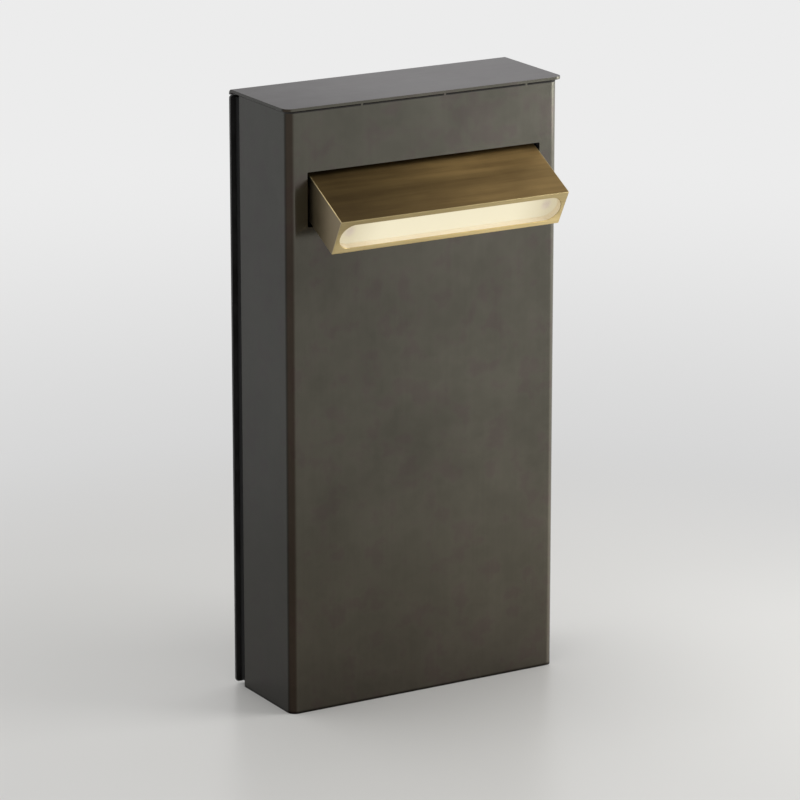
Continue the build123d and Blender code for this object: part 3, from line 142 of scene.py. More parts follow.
class Board:
    """One material under construction: adds nodes and wires them to a Principled shader."""

    def __init__(self, name: str) -> None:
        """Start an empty material with a Principled shader on its output.

        Args:
            name: the material's name.
        """
        self.material = bpy.data.materials.new(name)
        self.material.use_nodes = True
        self.tree = self.material.node_tree
        self.tree.nodes.clear()
        self.output = self.node("OutputMaterial")
        self.shader = self.node("BsdfPrincipled")
        self.wire(self.shader.outputs["BSDF"], self.output.inputs["Surface"])
        coordinates = self.node("TexCoord")
        self.place = coordinates.outputs["Object"]
        self.normal = coordinates.outputs["Normal"]

    def node(self, kind: str) -> bpy.types.Node:
        """Add a node, by its kind without Blender's prefix."""
        return self.tree.nodes.new(f"ShaderNode{kind}")

    def wire(self, source: Socket, target: Socket) -> None:
        """Link one socket to another."""
        self.tree.links.new(source, target)

    def feed(self, source: Socket, name: str) -> None:
        """Link a socket to one of the shader's own."""
        self.wire(source, self.shader.inputs[name])

    def set(self, **values: object) -> None:
        """Set constants on the shader; the words of a socket's name are joined by underscores."""
        for name, value in values.items():
            self.shader.inputs[name.replace("_", " ")].default_value = value

    def stretch(self, scale: Point, centre: Point = (0.0, 0.0, 0.0)) -> Socket:
        """Scale the piece's own coordinates about a centre.

        Args:
            scale: factors along X, Y and Z.
            centre: the point, in metres, that becomes zero.

        Returns:
            The vector output.
        """
        mapping = self.node("Mapping")
        mapping.inputs["Scale"].default_value = scale
        mapping.inputs["Location"].default_value = [-c * s for c, s in zip(centre, scale)]
        self.wire(self.place, mapping.inputs["Vector"])
        return mapping.outputs["Vector"]

    def noise(self, scale: Point | float, detail: float = 3.0, rough: float = 0.55) -> Socket:
        """Add fractal noise over the piece's own coordinates.

        Args:
            scale: how fine it is, per metre, alike every way or along X, Y and Z.
            detail: how many finer layers it has.
            rough: how much stronger or weaker each finer layer is.

        Returns:
            Its value, from 0 to 1.
        """
        node = self.node("TexNoise")
        node.inputs["Scale"].default_value = 1.0
        node.inputs["Detail"].default_value = detail
        node.inputs["Roughness"].default_value = rough
        self.wire(self.stretch(scale if isinstance(scale, tuple) else (scale,) * 3), node.inputs["Vector"])
        return node.outputs["Fac"]

    def remap(self, value: Socket, source: Span, target: Span = (0.0, 1.0)) -> Socket:
        """Map a value from one range to another, smoothly and clamped.

        Args:
            value: the value to map.
            source: its lowest and highest value.
            target: what they become.

        Returns:
            The mapped value.
        """
        node = self.node("MapRange")
        node.interpolation_type = "SMOOTHSTEP"
        for name, number in zip(("From Min", "From Max", "To Min", "To Max"), (*source, *target)):
            node.inputs[name].default_value = number
        self.wire(value, node.inputs["Value"])
        return node.outputs["Result"]

    def combine(self, operation: str, first: Socket, second: Socket | float = 0.0) -> Socket:
        """Work out one value from one or two others.

        Args:
            operation: what is done, such as ADD or ABSOLUTE.
            first: the first value.
            second: the second value, where the operation takes one.

        Returns:
            The result.
        """
        node = self.node("Math")
        node.operation = operation
        self.wire(first, node.inputs[0])
        if isinstance(second, float):
            node.inputs[1].default_value = second
        else:
            self.wire(second, node.inputs[1])
        return node.outputs["Value"]

    def times(self, first: Socket, *others: Socket | float) -> Socket:
        """Multiply values.

        Args:
            first: the first value.
            others: what it is multiplied by, one after the other.

        Returns:
            The product.
        """
        for other in others:
            first = self.combine("MULTIPLY", first, other)
        return first

    def ramp(self, value: Socket, stops: Stops) -> Socket:
        """Turn a value into a colour.

        Args:
            value: from 0 to 1.
            stops: positions and their screen colours.

        Returns:
            The colour output.
        """
        node = self.node("ValToRGB")
        elements = node.color_ramp.elements
        while len(elements) < len(stops):
            elements.new(1.0)
        for element, (position, colour) in zip(elements, stops):
            element.position = position
            element.color = srgb(colour)
        self.wire(value, node.inputs["Fac"])
        return node.outputs["Color"]

    def mix(self, blend: str, share: Socket, below: Socket, above: Colour) -> Socket:
        """Lay a colour over another.

        Args:
            blend: the kind of blend, such as MIX or MULTIPLY.
            share: how much of the upper colour is used.
            below: the colour below.
            above: the screen colour above.

        Returns:
            The blended colour.
        """
        node = self.node("Mix")
        node.data_type = "RGBA"
        node.blend_type = blend
        ends = {socket.identifier: socket for socket in (*node.inputs, *node.outputs)}
        self.wire(share, ends["Factor_Float"])
        self.wire(below, ends["A_Color"])
        ends["B_Color"].default_value = srgb(above)
        return ends["Result_Color"]

    def parts(self, vector: Socket) -> tuple[Socket, ...]:
        """Split a vector into its parts.

        Args:
            vector: the vector.

        Returns:
            Its X, Y and Z.
        """
        split = self.node("SeparateXYZ")
        self.wire(vector, split.inputs["Vector"])
        return tuple(split.outputs)

    def scale(self, colour: Socket, share: Socket) -> Socket:
        """Darken or brighten a colour.

        Args:
            colour: the colour.
            share: what each of its channels is multiplied by.

        Returns:
            The new colour.
        """
        node = self.node("VectorMath")
        node.operation = "SCALE"
        self.wire(colour, node.inputs[0])
        self.wire(share, node.inputs["Scale"])
        return node.outputs["Vector"]

    def bump(self, height: Socket, depth: float) -> Socket:
        """Turn a height into a normal.

        Args:
            height: the height, from 0 to 1.
            depth: how deep a height of 1 is, in metres.

        Returns:
            The normal output.
        """
        node = self.node("Bump")
        node.inputs["Distance"].default_value = depth
        self.wire(height, node.inputs["Height"])
        return node.outputs["Normal"]


@dataclass(frozen=True)
class SheetFinish:
    """A patinated sheet metal: clouds of tone, small smudges, faint brush marks and a satin sheen.

    The shaded tones run from the foot of the lamp to its top and hold painted shade, darker towards the foot;
    the light leans are painted light, lighter from left to right. The filters lie over the smudges, the sides
    and the bends, each where its mask is in its span: the smudge filter is the patina's own tint, the side
    filter is painted shade on the flanks, and the bend filter is a painted dark reflection on the bends. The
    foot shadow is a painted dark line along the foot, and the right bend glint is a painted highlight on the
    bend at the front right.
    """

    name: str
    # Colours from the foot to the top, holding painted shade that makes the sheet darker towards the foot
    shaded_tones: Stops
    grain: Grain
    metallic: float = 1.0
    gloss: Span = (0.17, 0.24)
    clouds_per_metre: float = 16.0
    cloud_span: Span = (0.32, 0.68)
    cloud_tone: Span = (0.9, 1.06)
    smudges_per_metre: float = 75.0
    smudge_span: Span = (0.35, 0.7)
    smudge_tone: Span = (0.9, 1.03)
    grain_depth: float = 0.000003
    grain_tone: Span = (0.96, 1.0)
    # Painted light: the sheet is lighter from left to right, and near the foot its own lean evens that out
    light_lean_span: Span = (-0.1, 0.1)
    light_lean: Span = (0.82, 1.1)
    foot_light_lean: Span = (1.0, 1.0)
    foot_height: float = 0.11
    # Painted shade: a dark contact shadow along the foot, up to the height of its span
    foot_shadow: float = 1.0
    foot_shadow_span: Span = (0.0009, 0.0022)
    smudge_filter: Colour = CLEAR
    smudge_filter_span: Span = (0.48, 0.66)
    # Painted shade on the flanks, where the normal points sideways
    side_shade_filter: Colour = CLEAR
    side_shade_span: Span = (0.85, 0.99)
    # Painted dark reflection on the front left and back right bends
    bend_reflection_filter: Colour = CLEAR
    bend_reflection_span: Span = (0.1, 0.42)
    # Painted highlight on the front right bend
    right_bend_glint: float = 1.0
    right_bend_glint_span: Span = (-0.34, -0.02)

    def make(self) -> Material:
        """Build the material.

        Returns:
            The material.
        """
        board = Board(self.name)
        across, _, up = board.parts(board.place)
        sideways, forwards, _ = board.parts(board.normal)
        clouds = board.noise(self.clouds_per_metre, detail=4.0, rough=0.6)
        smudges = board.noise(self.smudges_per_metre, detail=3.0, rough=0.6)
        marks = board.noise(self.grain.value, detail=5.0, rough=0.6)
        # Where the painted light lean near the foot acts: across the sheet, fading out above the foot
        near_foot = board.times(across, board.remap(up, (0.0, self.foot_height), (1.0, 0.0)))
        # Mask of the front right bend, for its painted highlight
        right_bend_glint = board.times(board.combine("MAXIMUM", sideways), forwards)
        # Painted light and shade lie in the leans, the foot shadow and the right bend glint; the rest is the
        # sheet's own tone
        share = board.times(board.remap(across, self.light_lean_span, self.light_lean),
                            board.remap(near_foot, self.light_lean_span, self.foot_light_lean),
                            board.remap(clouds, self.cloud_span, self.cloud_tone),
                            board.remap(smudges, self.smudge_span, self.smudge_tone),
                            board.remap(marks, NOISE_SPAN, self.grain_tone),
                            # painted contact shadow along the foot
                            board.remap(up, self.foot_shadow_span, (self.foot_shadow, 1.0)),
                            # painted highlight on the front right bend
                            board.remap(right_bend_glint, self.right_bend_glint_span, (self.right_bend_glint, 1.0)))
        # Colour by height, with painted shade darker towards the foot
        tone = board.ramp(board.times(up, 1.0 / LAMP_HEIGHT), self.shaded_tones)
        filters = ((smudges, self.smudge_filter_span, self.smudge_filter),
                   # painted shade on the flanks
                   (board.combine("ABSOLUTE", sideways), self.side_shade_span, self.side_shade_filter),
                   # painted dark reflection on the front left and back right bends
                   (board.times(sideways, forwards), self.bend_reflection_span, self.bend_reflection_filter))
        for mask, span, colour in filters:
            tone = board.mix("MULTIPLY", board.remap(mask, span), tone, colour)
        board.feed(board.scale(tone, share), "Base Color")
        board.feed(board.remap(clouds, NOISE_CORE, self.gloss), "Roughness")
        board.feed(board.bump(marks, self.grain_depth), "Normal")
        board.set(Metallic=self.metallic)
        return board.material


@dataclass(frozen=True)
class BrassFinish:
    """Antique brass: brushed along its length, with a patina in streaks and blotches.

    The light lean is painted light, lighter from left to right, and the depth is painted light, lighter from
    the front towards the back.
    """

    name: str
    patina: Colour = (127, 103, 66)
    brown: Colour = (138, 114, 73)
    gold: Colour = (148, 123, 79)
    end: Colour = (136, 123, 99)
    end_span: Span = (0.5, 0.95)
    roughness: Span = (0.34, 0.42)
    streaks_per_metre: Point = (9.0, 160.0, 160.0)
    streak_share: float = 0.55
    blotches_per_metre: Point = (26.0, 40.0, 40.0)
    worn_span: Span = (0.26, 0.74)
    hair_tone: Span = (0.92, 1.0)
    hair_depth: float = 0.000006
    # Painted light: lighter from left to right by the lean, and lighter towards the back by the depth
    light_lean_span: Span = (-0.085, 0.07)
    light_lean: Span = (0.46, 1.5)
    back_light_span: Span = (-0.054, -0.036)
    depth: Span = (1.0, 1.9)

    def make(self) -> Material:
        """Build the material.

        Returns:
            The material.
        """
        board = Board(self.name)
        streaks = board.noise(self.streaks_per_metre, detail=6.0, rough=0.62)
        hairs = board.noise(Grain.ACROSS.value, detail=4.0, rough=0.6)
        blotches = board.noise(self.blotches_per_metre, rough=0.6)
        wear = board.combine("ADD", board.times(streaks, self.streak_share),
                             board.times(blotches, 1.0 - self.streak_share))
        worn = board.remap(wear, self.worn_span)
        colour = board.ramp(worn, [(0.0, self.patina), (0.5, self.brown), (1.0, self.gold)])
        across, deep, _ = board.parts(board.place)
        # Painted light from the lean and the depth, over the brush marks' own tone
        share = board.times(board.remap(across, self.light_lean_span, self.light_lean),
                            board.remap(deep, self.back_light_span, self.depth),
                            board.remap(hairs, NOISE_SPAN, self.hair_tone))
        sideways = board.combine("ABSOLUTE", board.parts(board.normal)[0])
        ends = board.remap(sideways, self.end_span)
        board.feed(board.mix("MIX", ends, board.scale(colour, share), self.end), "Base Color")
        board.feed(board.remap(wear, NOISE_SPAN, self.roughness), "Roughness")
        board.feed(board.bump(hairs, self.hair_depth), "Normal")
        board.set(Metallic=1.0)
        return board.material


@dataclass(frozen=True)
class PlainFinish:
    """A plain part: paint, rubber, plastic or plated metal with a little variation."""

    name: str
    dark: Colour
    light: Colour
    metallic: float = 0.0
    roughness: Span = (0.4, 0.55)
    clouds_per_metre: float = 60.0
    cloud_share: float = 0.6
    speckles_per_metre: float = 900.0
    depth: float = 0.00001

    def make(self) -> Material:
        """Build the material.

        Returns:
            The material.
        """
        board = Board(self.name)
        clouds = board.noise(self.clouds_per_metre)
        speckles = board.noise(self.speckles_per_metre, detail=2.0)
        tone = board.combine("ADD", board.times(clouds, self.cloud_share),
                             board.times(speckles, 1.0 - self.cloud_share))
        colour = board.ramp(board.remap(tone, NOISE_CORE), [(0.0, self.dark), (1.0, self.light)])
        board.feed(colour, "Base Color")
        board.feed(board.remap(clouds, NOISE_CORE, self.roughness), "Roughness")
        board.feed(board.bump(speckles, self.depth), "Normal")
        board.set(Metallic=self.metallic)
        return board.material


@dataclass(frozen=True)
class LitLensFinish:
    """A frosted lens with the light on: a warm white glow with a small unlit spot near each end."""

    name: str
    centre: Point
    glow: Colour = (247, 237, 205)
    end_glow: Colour = (212, 200, 167)
    spot_glow: Colour = (130, 116, 93)
    lit_body: Colour = (120, 116, 100)
    spot_body: Colour = (205, 195, 182)
    fade: Span = (0.045, 0.082)
    spot_x: float = 0.0735
    spot_radius: Span = (0.0008, 0.0055)
    power: float = 0.78
    roughness: float = 0.45
    frost_per_metre: float = 1400.0
    frost_tone: Span = (0.95, 1.0)
    frost_depth: float = 0.000008

    def make(self) -> Material:
        """Build the material.

        Returns:
            The material.
        """
        board = Board(self.name)
        across, _, up = board.parts(board.stretch((1.0, 1.0, 1.0), self.centre))
        away = board.combine("ABSOLUTE", across)
        run = board.combine("SUBTRACT", away, self.spot_x)
        square = board.combine("ADD", board.times(run, run), board.times(up, up))
        spot = board.remap(board.combine("SQRT", square), self.spot_radius, (1.0, 0.0))
        frost = board.noise(self.frost_per_metre, detail=2.0)
        body = board.ramp(spot, [(0.0, self.lit_body), (1.0, self.spot_body)])
        board.feed(board.scale(body, board.remap(frost, NOISE_SPAN, self.frost_tone)), "Base Color")
        glow = board.ramp(board.remap(away, self.fade), [(0.0, self.glow), (1.0, self.end_glow)])
        board.feed(board.mix("MIX", spot, glow, self.spot_glow), "Emission Color")
        board.feed(board.bump(frost, self.frost_depth), "Normal")
        board.set(Roughness=self.roughness, Emission_Strength=self.power)
        return board.material


@dataclass(frozen=True)
class FloorFinish:
    """The pale studio floor: lit round the lamp, and to the eye as pale as the walls further away."""

    name: str
    near: Colour = (224, 223, 220)
    middle: Colour = (206, 206, 206)
    far: Colour = (236, 236, 236)
    pale_span: Span = (0.05, 1.6)
    blend_span: Span = (0.0, 0.3)
    dust_per_metre: float = 3.0
    dust_tone: float = 3.0
    roughness: float = 0.32
    specular: float = 0.42

    def make(self) -> Material:
        """Build the material.

        Returns:
            The material.
        """
        board = Board(self.name)
        length = board.node("VectorMath")
        length.operation = "LENGTH"
        board.wire(board.place, length.inputs[0])
        away = board.remap(length.outputs["Value"], self.pale_span)
        dust = board.remap(board.noise(self.dust_per_metre, detail=2.0), NOISE_SPAN)
        dusty = tuple(channel - self.dust_tone for channel in self.near)
        board.feed(board.ramp(dust, [(0.0, dusty), (1.0, self.near)]), "Base Color")
        board.set(Roughness=self.roughness, Specular_IOR_Level=self.specular)
        glow = board.node("Emission")
        board.wire(board.ramp(away, [(0.0, self.middle), (1.0, self.far)]), glow.inputs["Color"])
        path = board.node("LightPath")
        seen = board.combine("MAXIMUM", path.outputs["Is Camera Ray"], path.outputs["Is Glossy Ray"])
        seen = board.combine("MAXIMUM", seen, path.outputs["Is Transmission Ray"])
        blend = board.node("MixShader")
        board.wire(board.times(board.remap(away, self.blend_span), seen), blend.inputs["Fac"])
        board.wire(board.shader.outputs["BSDF"], blend.inputs[1])
        board.wire(glow.outputs["Emission"], blend.inputs[2])
        board.wire(blend.outputs["Shader"], board.output.inputs["Surface"])
        return board.material


def loop_edges(mesh: Mesh, corners: Sequence[Point], rounds: Sequence[float],
               segments: int = 8) -> list[Edge]:
    """Make a closed outline with rounded corners and no face.

    Args:
        mesh: the mesh to add to.
        corners: the corner points, in metres and in order.
        rounds: the radius at each corner, in metres; 0 keeps it sharp.
        segments: how many edges a quarter turn gets.

    Returns:
        The edges of the outline.
    """
    before = set(mesh.faces)
    face = mesh.faces.new([mesh.verts.new(corner) for corner in corners])
    for radius in sorted(set(rounds) - {0.0}):
        picked = [vert for corner, size in zip(corners, rounds) if size == radius
                  for vert in face.verts if (vert.co - Vector(corner)).length < MERGE_DISTANCE]
        bmesh.ops.bevel(mesh, geom=picked, offset=radius, offset_type="OFFSET", segments=segments,
                        profile=0.5, affect="VERTICES", material=-1, clamp_overlap=False)
        face = next(item for item in mesh.faces if item not in before)
    edges = list(face.edges)
    bmesh.ops.delete(mesh, geom=[face], context="FACES_ONLY")
    return edges


def rectangle(half_width: float, low: float, high: float, depth: float) -> list[Point]:
    """The corners of an upright rectangle that faces along Y, in metres."""
    return [(-half_width, depth, low), (half_width, depth, low),
            (half_width, depth, high), (-half_width, depth, high)]


def obround(mesh: Mesh, length: float, height: float, depth: float, steps: int = 24) -> list[Edge]:
    """Make a round-ended outline that faces along Y.

    Args:
        mesh: the mesh to add to.
        length: its whole length along X, in metres.
        height: its height along Z, in metres.
        depth: its place along Y, in metres.
        steps: how many edges each round end gets.

    Returns:
        The edges of the outline.
    """
    radius = height / 2
    reach = length / 2 - radius
    before = set(mesh.edges)
    ends = []
    for side in (1.0, -1.0):
        start = mesh.verts.new((side * reach, depth, -side * radius))
        turned = bmesh.ops.spin(mesh, geom=[start], cent=(side * reach, depth, 0.0), axis=(0.0, -1.0, 0.0),
                                angle=math.pi, steps=steps, use_merge=False)
        ends.append((start, turned["geom_last"][0]))
    mesh.edges.new((ends[0][1], ends[1][0]))
    mesh.edges.new((ends[1][1], ends[0][0]))
    return [edge for edge in mesh.edges if edge not in before]


def circle(mesh: Mesh, centre: Point, radius: float, segments: int = 24) -> list[Edge]:
    """Make a round outline that faces along Y.

    Args:
        mesh: the mesh to add to.
        centre: its middle, in metres.
        radius: its radius, in metres.
        segments: how many edges it gets.

    Returns:
        The edges of the outline.
    """
    upright = Matrix.Rotation(math.pi / 2, 4, "X")
    made = bmesh.ops.create_circle(mesh, segments=segments, radius=radius,
                                   matrix=Matrix.Translation(centre) @ upright)
    return list({edge for vert in made["verts"] for edge in vert.link_edges})


def fill(mesh: Mesh, edges: Iterable[Edge], normal: Point) -> None:
    """Fill a flat outline with faces that look one way, leaving the outlines inside it open."""
    bmesh.ops.triangle_fill(mesh, use_beauty=True, edges=list(edges), normal=normal)


def pull(mesh: Mesh, edges: Iterable[Edge], move: Point) -> list[Edge]:
    """Extrude edges into a wall.

    Args:
        mesh: the mesh that holds the edges.
        edges: the edges to extrude.
        move: how far their copies go, in metres.

    Returns:
        The edges at the far side of the wall.
    """
    made = bmesh.ops.extrude_edge_only(mesh, edges=list(edges))["geom"]
    bmesh.ops.translate(mesh, verts=[item for item in made if isinstance(item, bmesh.types.BMVert)], vec=move)
    return [item for item in made if isinstance(item, Edge)]


def close_seams(mesh: Mesh) -> None:
    """Merge doubled points and turn every face outwards."""
    bmesh.ops.remove_doubles(mesh, verts=mesh.verts[:], dist=MERGE_DISTANCE)
    bmesh.ops.recalc_face_normals(mesh, faces=mesh.faces[:])


def lies_at(item: bmesh.types.BMFace | Edge, axis: int, place: float) -> bool:
    """Whether all of a face or an edge lies in the plane at a place along an axis."""
    return all(abs(vert.co[axis] - place) < MERGE_DISTANCE for vert in item.verts)


def show(name: str, data: bpy.types.ID) -> Piece:
    """Put a mesh, a light or a camera into the scene.

    Args:
        name: the name of its object.
        data: what the object shows.

    Returns:
        The object.
    """
    shown = bpy.data.objects.new(name, data)
    bpy.context.scene.collection.objects.link(shown)
    return shown


@dataclass(frozen=True)
class Softening:
    """What finishes a piece: the thickness of its sheet and the rounding of its edges, in millimetres.

    A rounded edge takes the finish of its place, or of the faces beside it where that is -1.
    """

    edge: float
    segments: int = 2
    sheet: float = 0.0
    sharp_degrees: float = 38.0
    place: int = -1

    def apply(self, piece: Piece) -> None:
        """Add the modifiers to a piece.

        Args:
            piece: the piece. The rim of its sheet takes the second of its materials, where it has two.
        """
        if self.sheet:
            wall = piece.modifiers.new("sheet", "SOLIDIFY")
            wall.thickness = self.sheet * MM
            wall.use_even_offset = True
            wall.material_offset_rim = SheetPlace.CUT
        rounding = piece.modifiers.new("edges", "BEVEL")
        rounding.width = self.edge * MM
        rounding.segments = self.segments
        rounding.limit_method = "ANGLE"
        rounding.angle_limit = math.radians(self.sharp_degrees)
        rounding.use_clamp_overlap = True
        rounding.material = self.place
        smooth = piece.modifiers.new("shading", "WEIGHTED_NORMAL")
        smooth.keep_sharp = True


def finish_piece(mesh: Mesh, name: str, body: Body,
                 materials: Sequence[Material], softening: Softening, node: str) -> None:
    """Turn a mesh under construction into a dressed piece of the lamp.

    Args:
        mesh: the mesh under construction; it is freed.
        name: the new piece's name.
        body: the body that it rides on.
        materials: the finishes of its places, in order.
        softening: how its sheet and its edges are finished.
        node: the node of the model that it stands for.
    """
    data = bpy.data.meshes.new(name)
    mesh.to_mesh(data)
    mesh.free()
    for polygon in data.polygons:
        polygon.use_smooth = True
    for material in materials:
        data.materials.append(material)
    piece = show(name, data)
    softening.apply(piece)
    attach(piece, body.value)
    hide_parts(node)
    LOG.info("%s stands for %s", name, node)


def dress(nodes: dict[str, Piece], material: Material, names: Iterable[str]) -> None:
    """Give nodes of the model a material.

    Args:
        nodes: every node of the model by name.
        material: the material they get.
        names: the nodes to dress.
    """
    for name in names:
        data = nodes[name].data
        data.materials.clear()
        data.materials.append(material)
        LOG.info("%s is dressed in %s", name, material.name)


@dataclass(frozen=True)
class RearScrews:
    """The six button-head screws of the rear cover, each with a hexagon socket."""

    across: float = 93.65
    head_radius: float = 3.8
    dome: tuple[Span, ...] = ((0.0, 3.8), (0.6, 3.75), (1.2, 3.5), (1.7, 3.0), (2.0, 2.5), (2.2, 1.9))
    socket_flats: float = 2.5
    socket_depth: float = 1.3
    shank_radius: float = 2.0
    shank_length: float = 14.0

    def places(self) -> list[Span]:
        """Where the screws are.

        Returns:
            The place of each along X and Z, in metres.
        """
        low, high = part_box("rear_screws")
        margin = self.head_radius * MM
        levels = (low.z + margin, (low.z + high.z) / 2, high.z - margin)
        return [(side * self.across * MM, level) for level in levels for side in (-1.0, 1.0)]

    def holes(self, mesh: Mesh, depth: float, radius: float, segments: int = 20) -> list[Edge]:
        """Outline the screw holes, at a depth in metres and with a radius in millimetres."""
        return [edge for across, level in self.places()
                for edge in circle(mesh, (across, depth, level), radius * MM, segments)]

    def build(self, material: Material) -> None:
        """Build the screws on the cover.

        Args:
            material: their finish.
        """
        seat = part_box("rear_cover")[1].y
        mesh = bmesh.new()
        for across, level in self.places():
            self._screw(mesh, Vector((across, seat, level)))
        close_seams(mesh)
        finish_piece(mesh, "rear_cover_screws", Body.LAMP, [material],
                     Softening(edge=0.12), "rear_screws")

    def _screw(self, mesh: Mesh, seat: Vector) -> None:
        """Build one screw: a domed head, a hexagon socket and a shank.

        Args:
            mesh: the mesh to add to.
            seat: the middle of the underside of its head.
        """
        top = seat + Vector((0.0, self.dome[-1][0] * MM, 0.0))
        rings = [circle(mesh, tuple(seat + Vector((0.0, height * MM, 0.0))), radius * MM)
                 for height, radius in self.dome]
        for lower, upper in zip(rings, rings[1:]):
            bmesh.ops.bridge_loops(mesh, edges=lower + upper)
        socket = circle(mesh, tuple(top), self.socket_flats / math.sqrt(3.0) * MM, segments=6)
        fill(mesh, rings[-1] + socket, (0.0, 1.0, 0.0))
        fill(mesh, pull(mesh, socket, (0.0, -self.socket_depth * MM, 0.0)), (0.0, 1.0, 0.0))
        neck = circle(mesh, tuple(seat), self.shank_radius * MM)
        fill(mesh, rings[0] + neck, (0.0, -1.0, 0.0))
        fill(mesh, pull(mesh, neck, (0.0, -self.shank_length * MM, 0.0)), (0.0, -1.0, 0.0))


@dataclass(frozen=True)
class Housing:
    """The folded sheet tube, with the slot for the light bar and the service window."""

    sheet: float = 1.5
    edge: float = 0.22
    front_bend: float = 5.5
    rear_bend: float = 2.4
    slot_half_width: float = 87.0
    slot_low: float = 327.2
    slot_high: float = 363.2
    slot_corner: float = 0.8
    window_half_width: float = 86.15
    window_low: float = 20.0
    window_top_margin: float = 24.0
    window_corner: float = 6.0
    screw_hole: float = 3.0
    tab_width: float = 1.5
    tab_height: float = 0.8
    tab_places: tuple[float, ...] = (-46.9, 14.8, 76.5)
    # Height of the painted shadow line under the cap
    shadow_line: float = 0.9

    def top(self) -> float:
        """The height of the top edge between the tabs, in metres."""
        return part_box("housing")[1].z - self.tab_height * MM

    def window(self, mesh: Mesh, depth: float) -> list[Edge]:
        """Outline the service window at a place along Y, in metres."""
        corners = rectangle(self.window_half_width * MM, self.window_low * MM,
                            self.top() - self.window_top_margin * MM, depth)
        return loop_edges(mesh, corners, [self.window_corner * MM] * 4, 6)

    def build(self, face: Material, cut: Material, screws: RearScrews) -> None:
        """Build the housing from its outline.

        Args:
            face: the finish of its faces.
            cut: the finish of its cut edges and of the painted shadow line under the cap.
            screws: the screws of the rear cover.
        """
        low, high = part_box("housing")
        mesh = bmesh.new()
        corners = [(low.x, low.y, 0.0), (high.x, low.y, 0.0), (high.x, high.y, 0.0), (low.x, high.y, 0.0)]
        rounds = [self.front_bend * MM] * 2 + [self.rear_bend * MM] * 2
        pull(mesh, loop_edges(mesh, corners, rounds), (0.0, 0.0, self.top()))
        slot = rectangle(self.slot_half_width * MM, self.slot_low * MM, self.slot_high * MM, low.y)
        fill(mesh, self._wall(mesh, low.y) + loop_edges(mesh, slot, [self.slot_corner * MM] * 4, 3),
             (0.0, -1.0, 0.0))
        back = self._wall(mesh, high.y) + self.window(mesh, high.y)
        fill(mesh, back + screws.holes(mesh, high.y, self.screw_hole, 16), (0.0, 1.0, 0.0))
        close_seams(mesh)
        tops = self._tab_tops(mesh, low.y)
        self._draw_shadow_line(mesh, low.y)
        pull(mesh, tops, (0.0, 0.0, self.tab_height * MM))
        finish_piece(mesh, "housing_sheet", Body.LAMP, [face, cut],
                     Softening(edge=self.edge, sheet=self.sheet), "housing")

    def _wall(self, mesh: Mesh, depth: float) -> list[Edge]:
        """Take out a flat wall.

        Args:
            mesh: the mesh that holds it.
            depth: its place along Y, in metres.

        Returns:
            The edges of its outline.
        """
        flat = [face for face in mesh.faces if lies_at(face, 1, depth)]
        wall = max(flat, key=lambda face: face.calc_area())
        outline = list(wall.edges)
        bmesh.ops.delete(mesh, geom=[wall], context="FACES_ONLY")
        return outline

    def _by_tab(self, across: float) -> bool:
        """Whether a place along X, in metres, lies within one of the tabs."""
        half = self.tab_width / 2 * MM + MERGE_DISTANCE
        return any(abs(across - place * MM) < half for place in self.tab_places)

    def _tab_tops(self, mesh: Mesh, depth: float) -> list[Edge]:
        """Cut the front wall at both sides of each tab.

        Args:
            mesh: the mesh that holds the wall.
            depth: the wall's place along Y, in metres.

        Returns:
            The stretches of its top edge that the tabs rise from.
        """
        for place in self.tab_places:
            for side in (-0.5, 0.5):
                front = [face for face in mesh.faces if lies_at(face, 1, depth)]
                geometry = {*front, *(edge for face in front for edge in face.edges),
                            *(vert for face in front for vert in face.verts)}
                bmesh.ops.bisect_plane(mesh, geom=list(geometry), dist=MERGE_DISTANCE,
                                       plane_co=((place + side * self.tab_width) * MM, 0.0, 0.0),
                                       plane_no=(1.0, 0.0, 0.0))
        return [edge for edge in mesh.edges if lies_at(edge, 2, self.top()) and lies_at(edge, 1, depth)
                and self._by_tab(sum(vert.co.x for vert in edge.verts) / 2)]

    def _draw_shadow_line(self, mesh: Mesh, depth: float) -> None:
        """Paint the shadow under the cap: give the strip along the top edge, except under the tabs, the dark
        cut-edge finish.

        Args:
            mesh: the mesh to mark.
            depth: the front wall's place along Y, in metres.
        """
        level = self.top() - self.shadow_line * MM
        bmesh.ops.bisect_plane(mesh, geom=[*mesh.faces, *mesh.edges, *mesh.verts], dist=MERGE_DISTANCE,
                               plane_co=(0.0, 0.0, level), plane_no=(0.0, 0.0, 1.0))
        for face in mesh.faces:
            middle = face.calc_center_median()
            tab = middle.y - depth < MERGE_DISTANCE and self._by_tab(middle.x)
            # Painted shadow under the cap: the strip takes the dark cut-edge finish
            face.material_index = SheetPlace.CUT if middle.z > level and not tab else SheetPlace.FACE


@dataclass(frozen=True)
class TopCap:
    """The cap sheet: rounded front corners and a lip bent down at the back."""

    sheet: float = 1.9
    corner: float = 5.5
    bend: float = 3.0
    bend_steps: int = 6
    edge: float = 0.4

    def build(self, face: Material, cut: Material) -> None:
        """Build the cap from its top face.

        Args:
            face: the finish of its faces.
            cut: the finish of its cut edges.
        """
        low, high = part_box("top_cap")
        bend = self.bend * MM
        fold = high.y - bend
        mesh = bmesh.new()
        corners = [(low.x, low.y, high.z), (high.x, low.y, high.z),
                   (high.x, fold, high.z), (low.x, fold, high.z)]
        fill(mesh, loop_edges(mesh, corners, [self.corner * MM] * 2 + [0.0] * 2), (0.0, 0.0, 1.0))
        back = [edge for edge in mesh.edges if lies_at(edge, 1, fold)]
        turned = bmesh.ops.spin(mesh, geom=[*back, *(vert for edge in back for vert in edge.verts)],
                                steps=self.bend_steps, use_merge=False, cent=(0.0, fold, high.z - bend),
                                axis=(-1.0, 0.0, 0.0), angle=math.pi / 2)
        last = [item for item in turned["geom_last"] if isinstance(item, Edge)]
        pull(mesh, last, (0.0, 0.0, low.z - (high.z - bend)))
        close_seams(mesh)
        finish_piece(mesh, "cap_sheet", Body.LAMP, [face, cut],
                     Softening(edge=self.edge, segments=3, sheet=self.sheet), "top_cap")


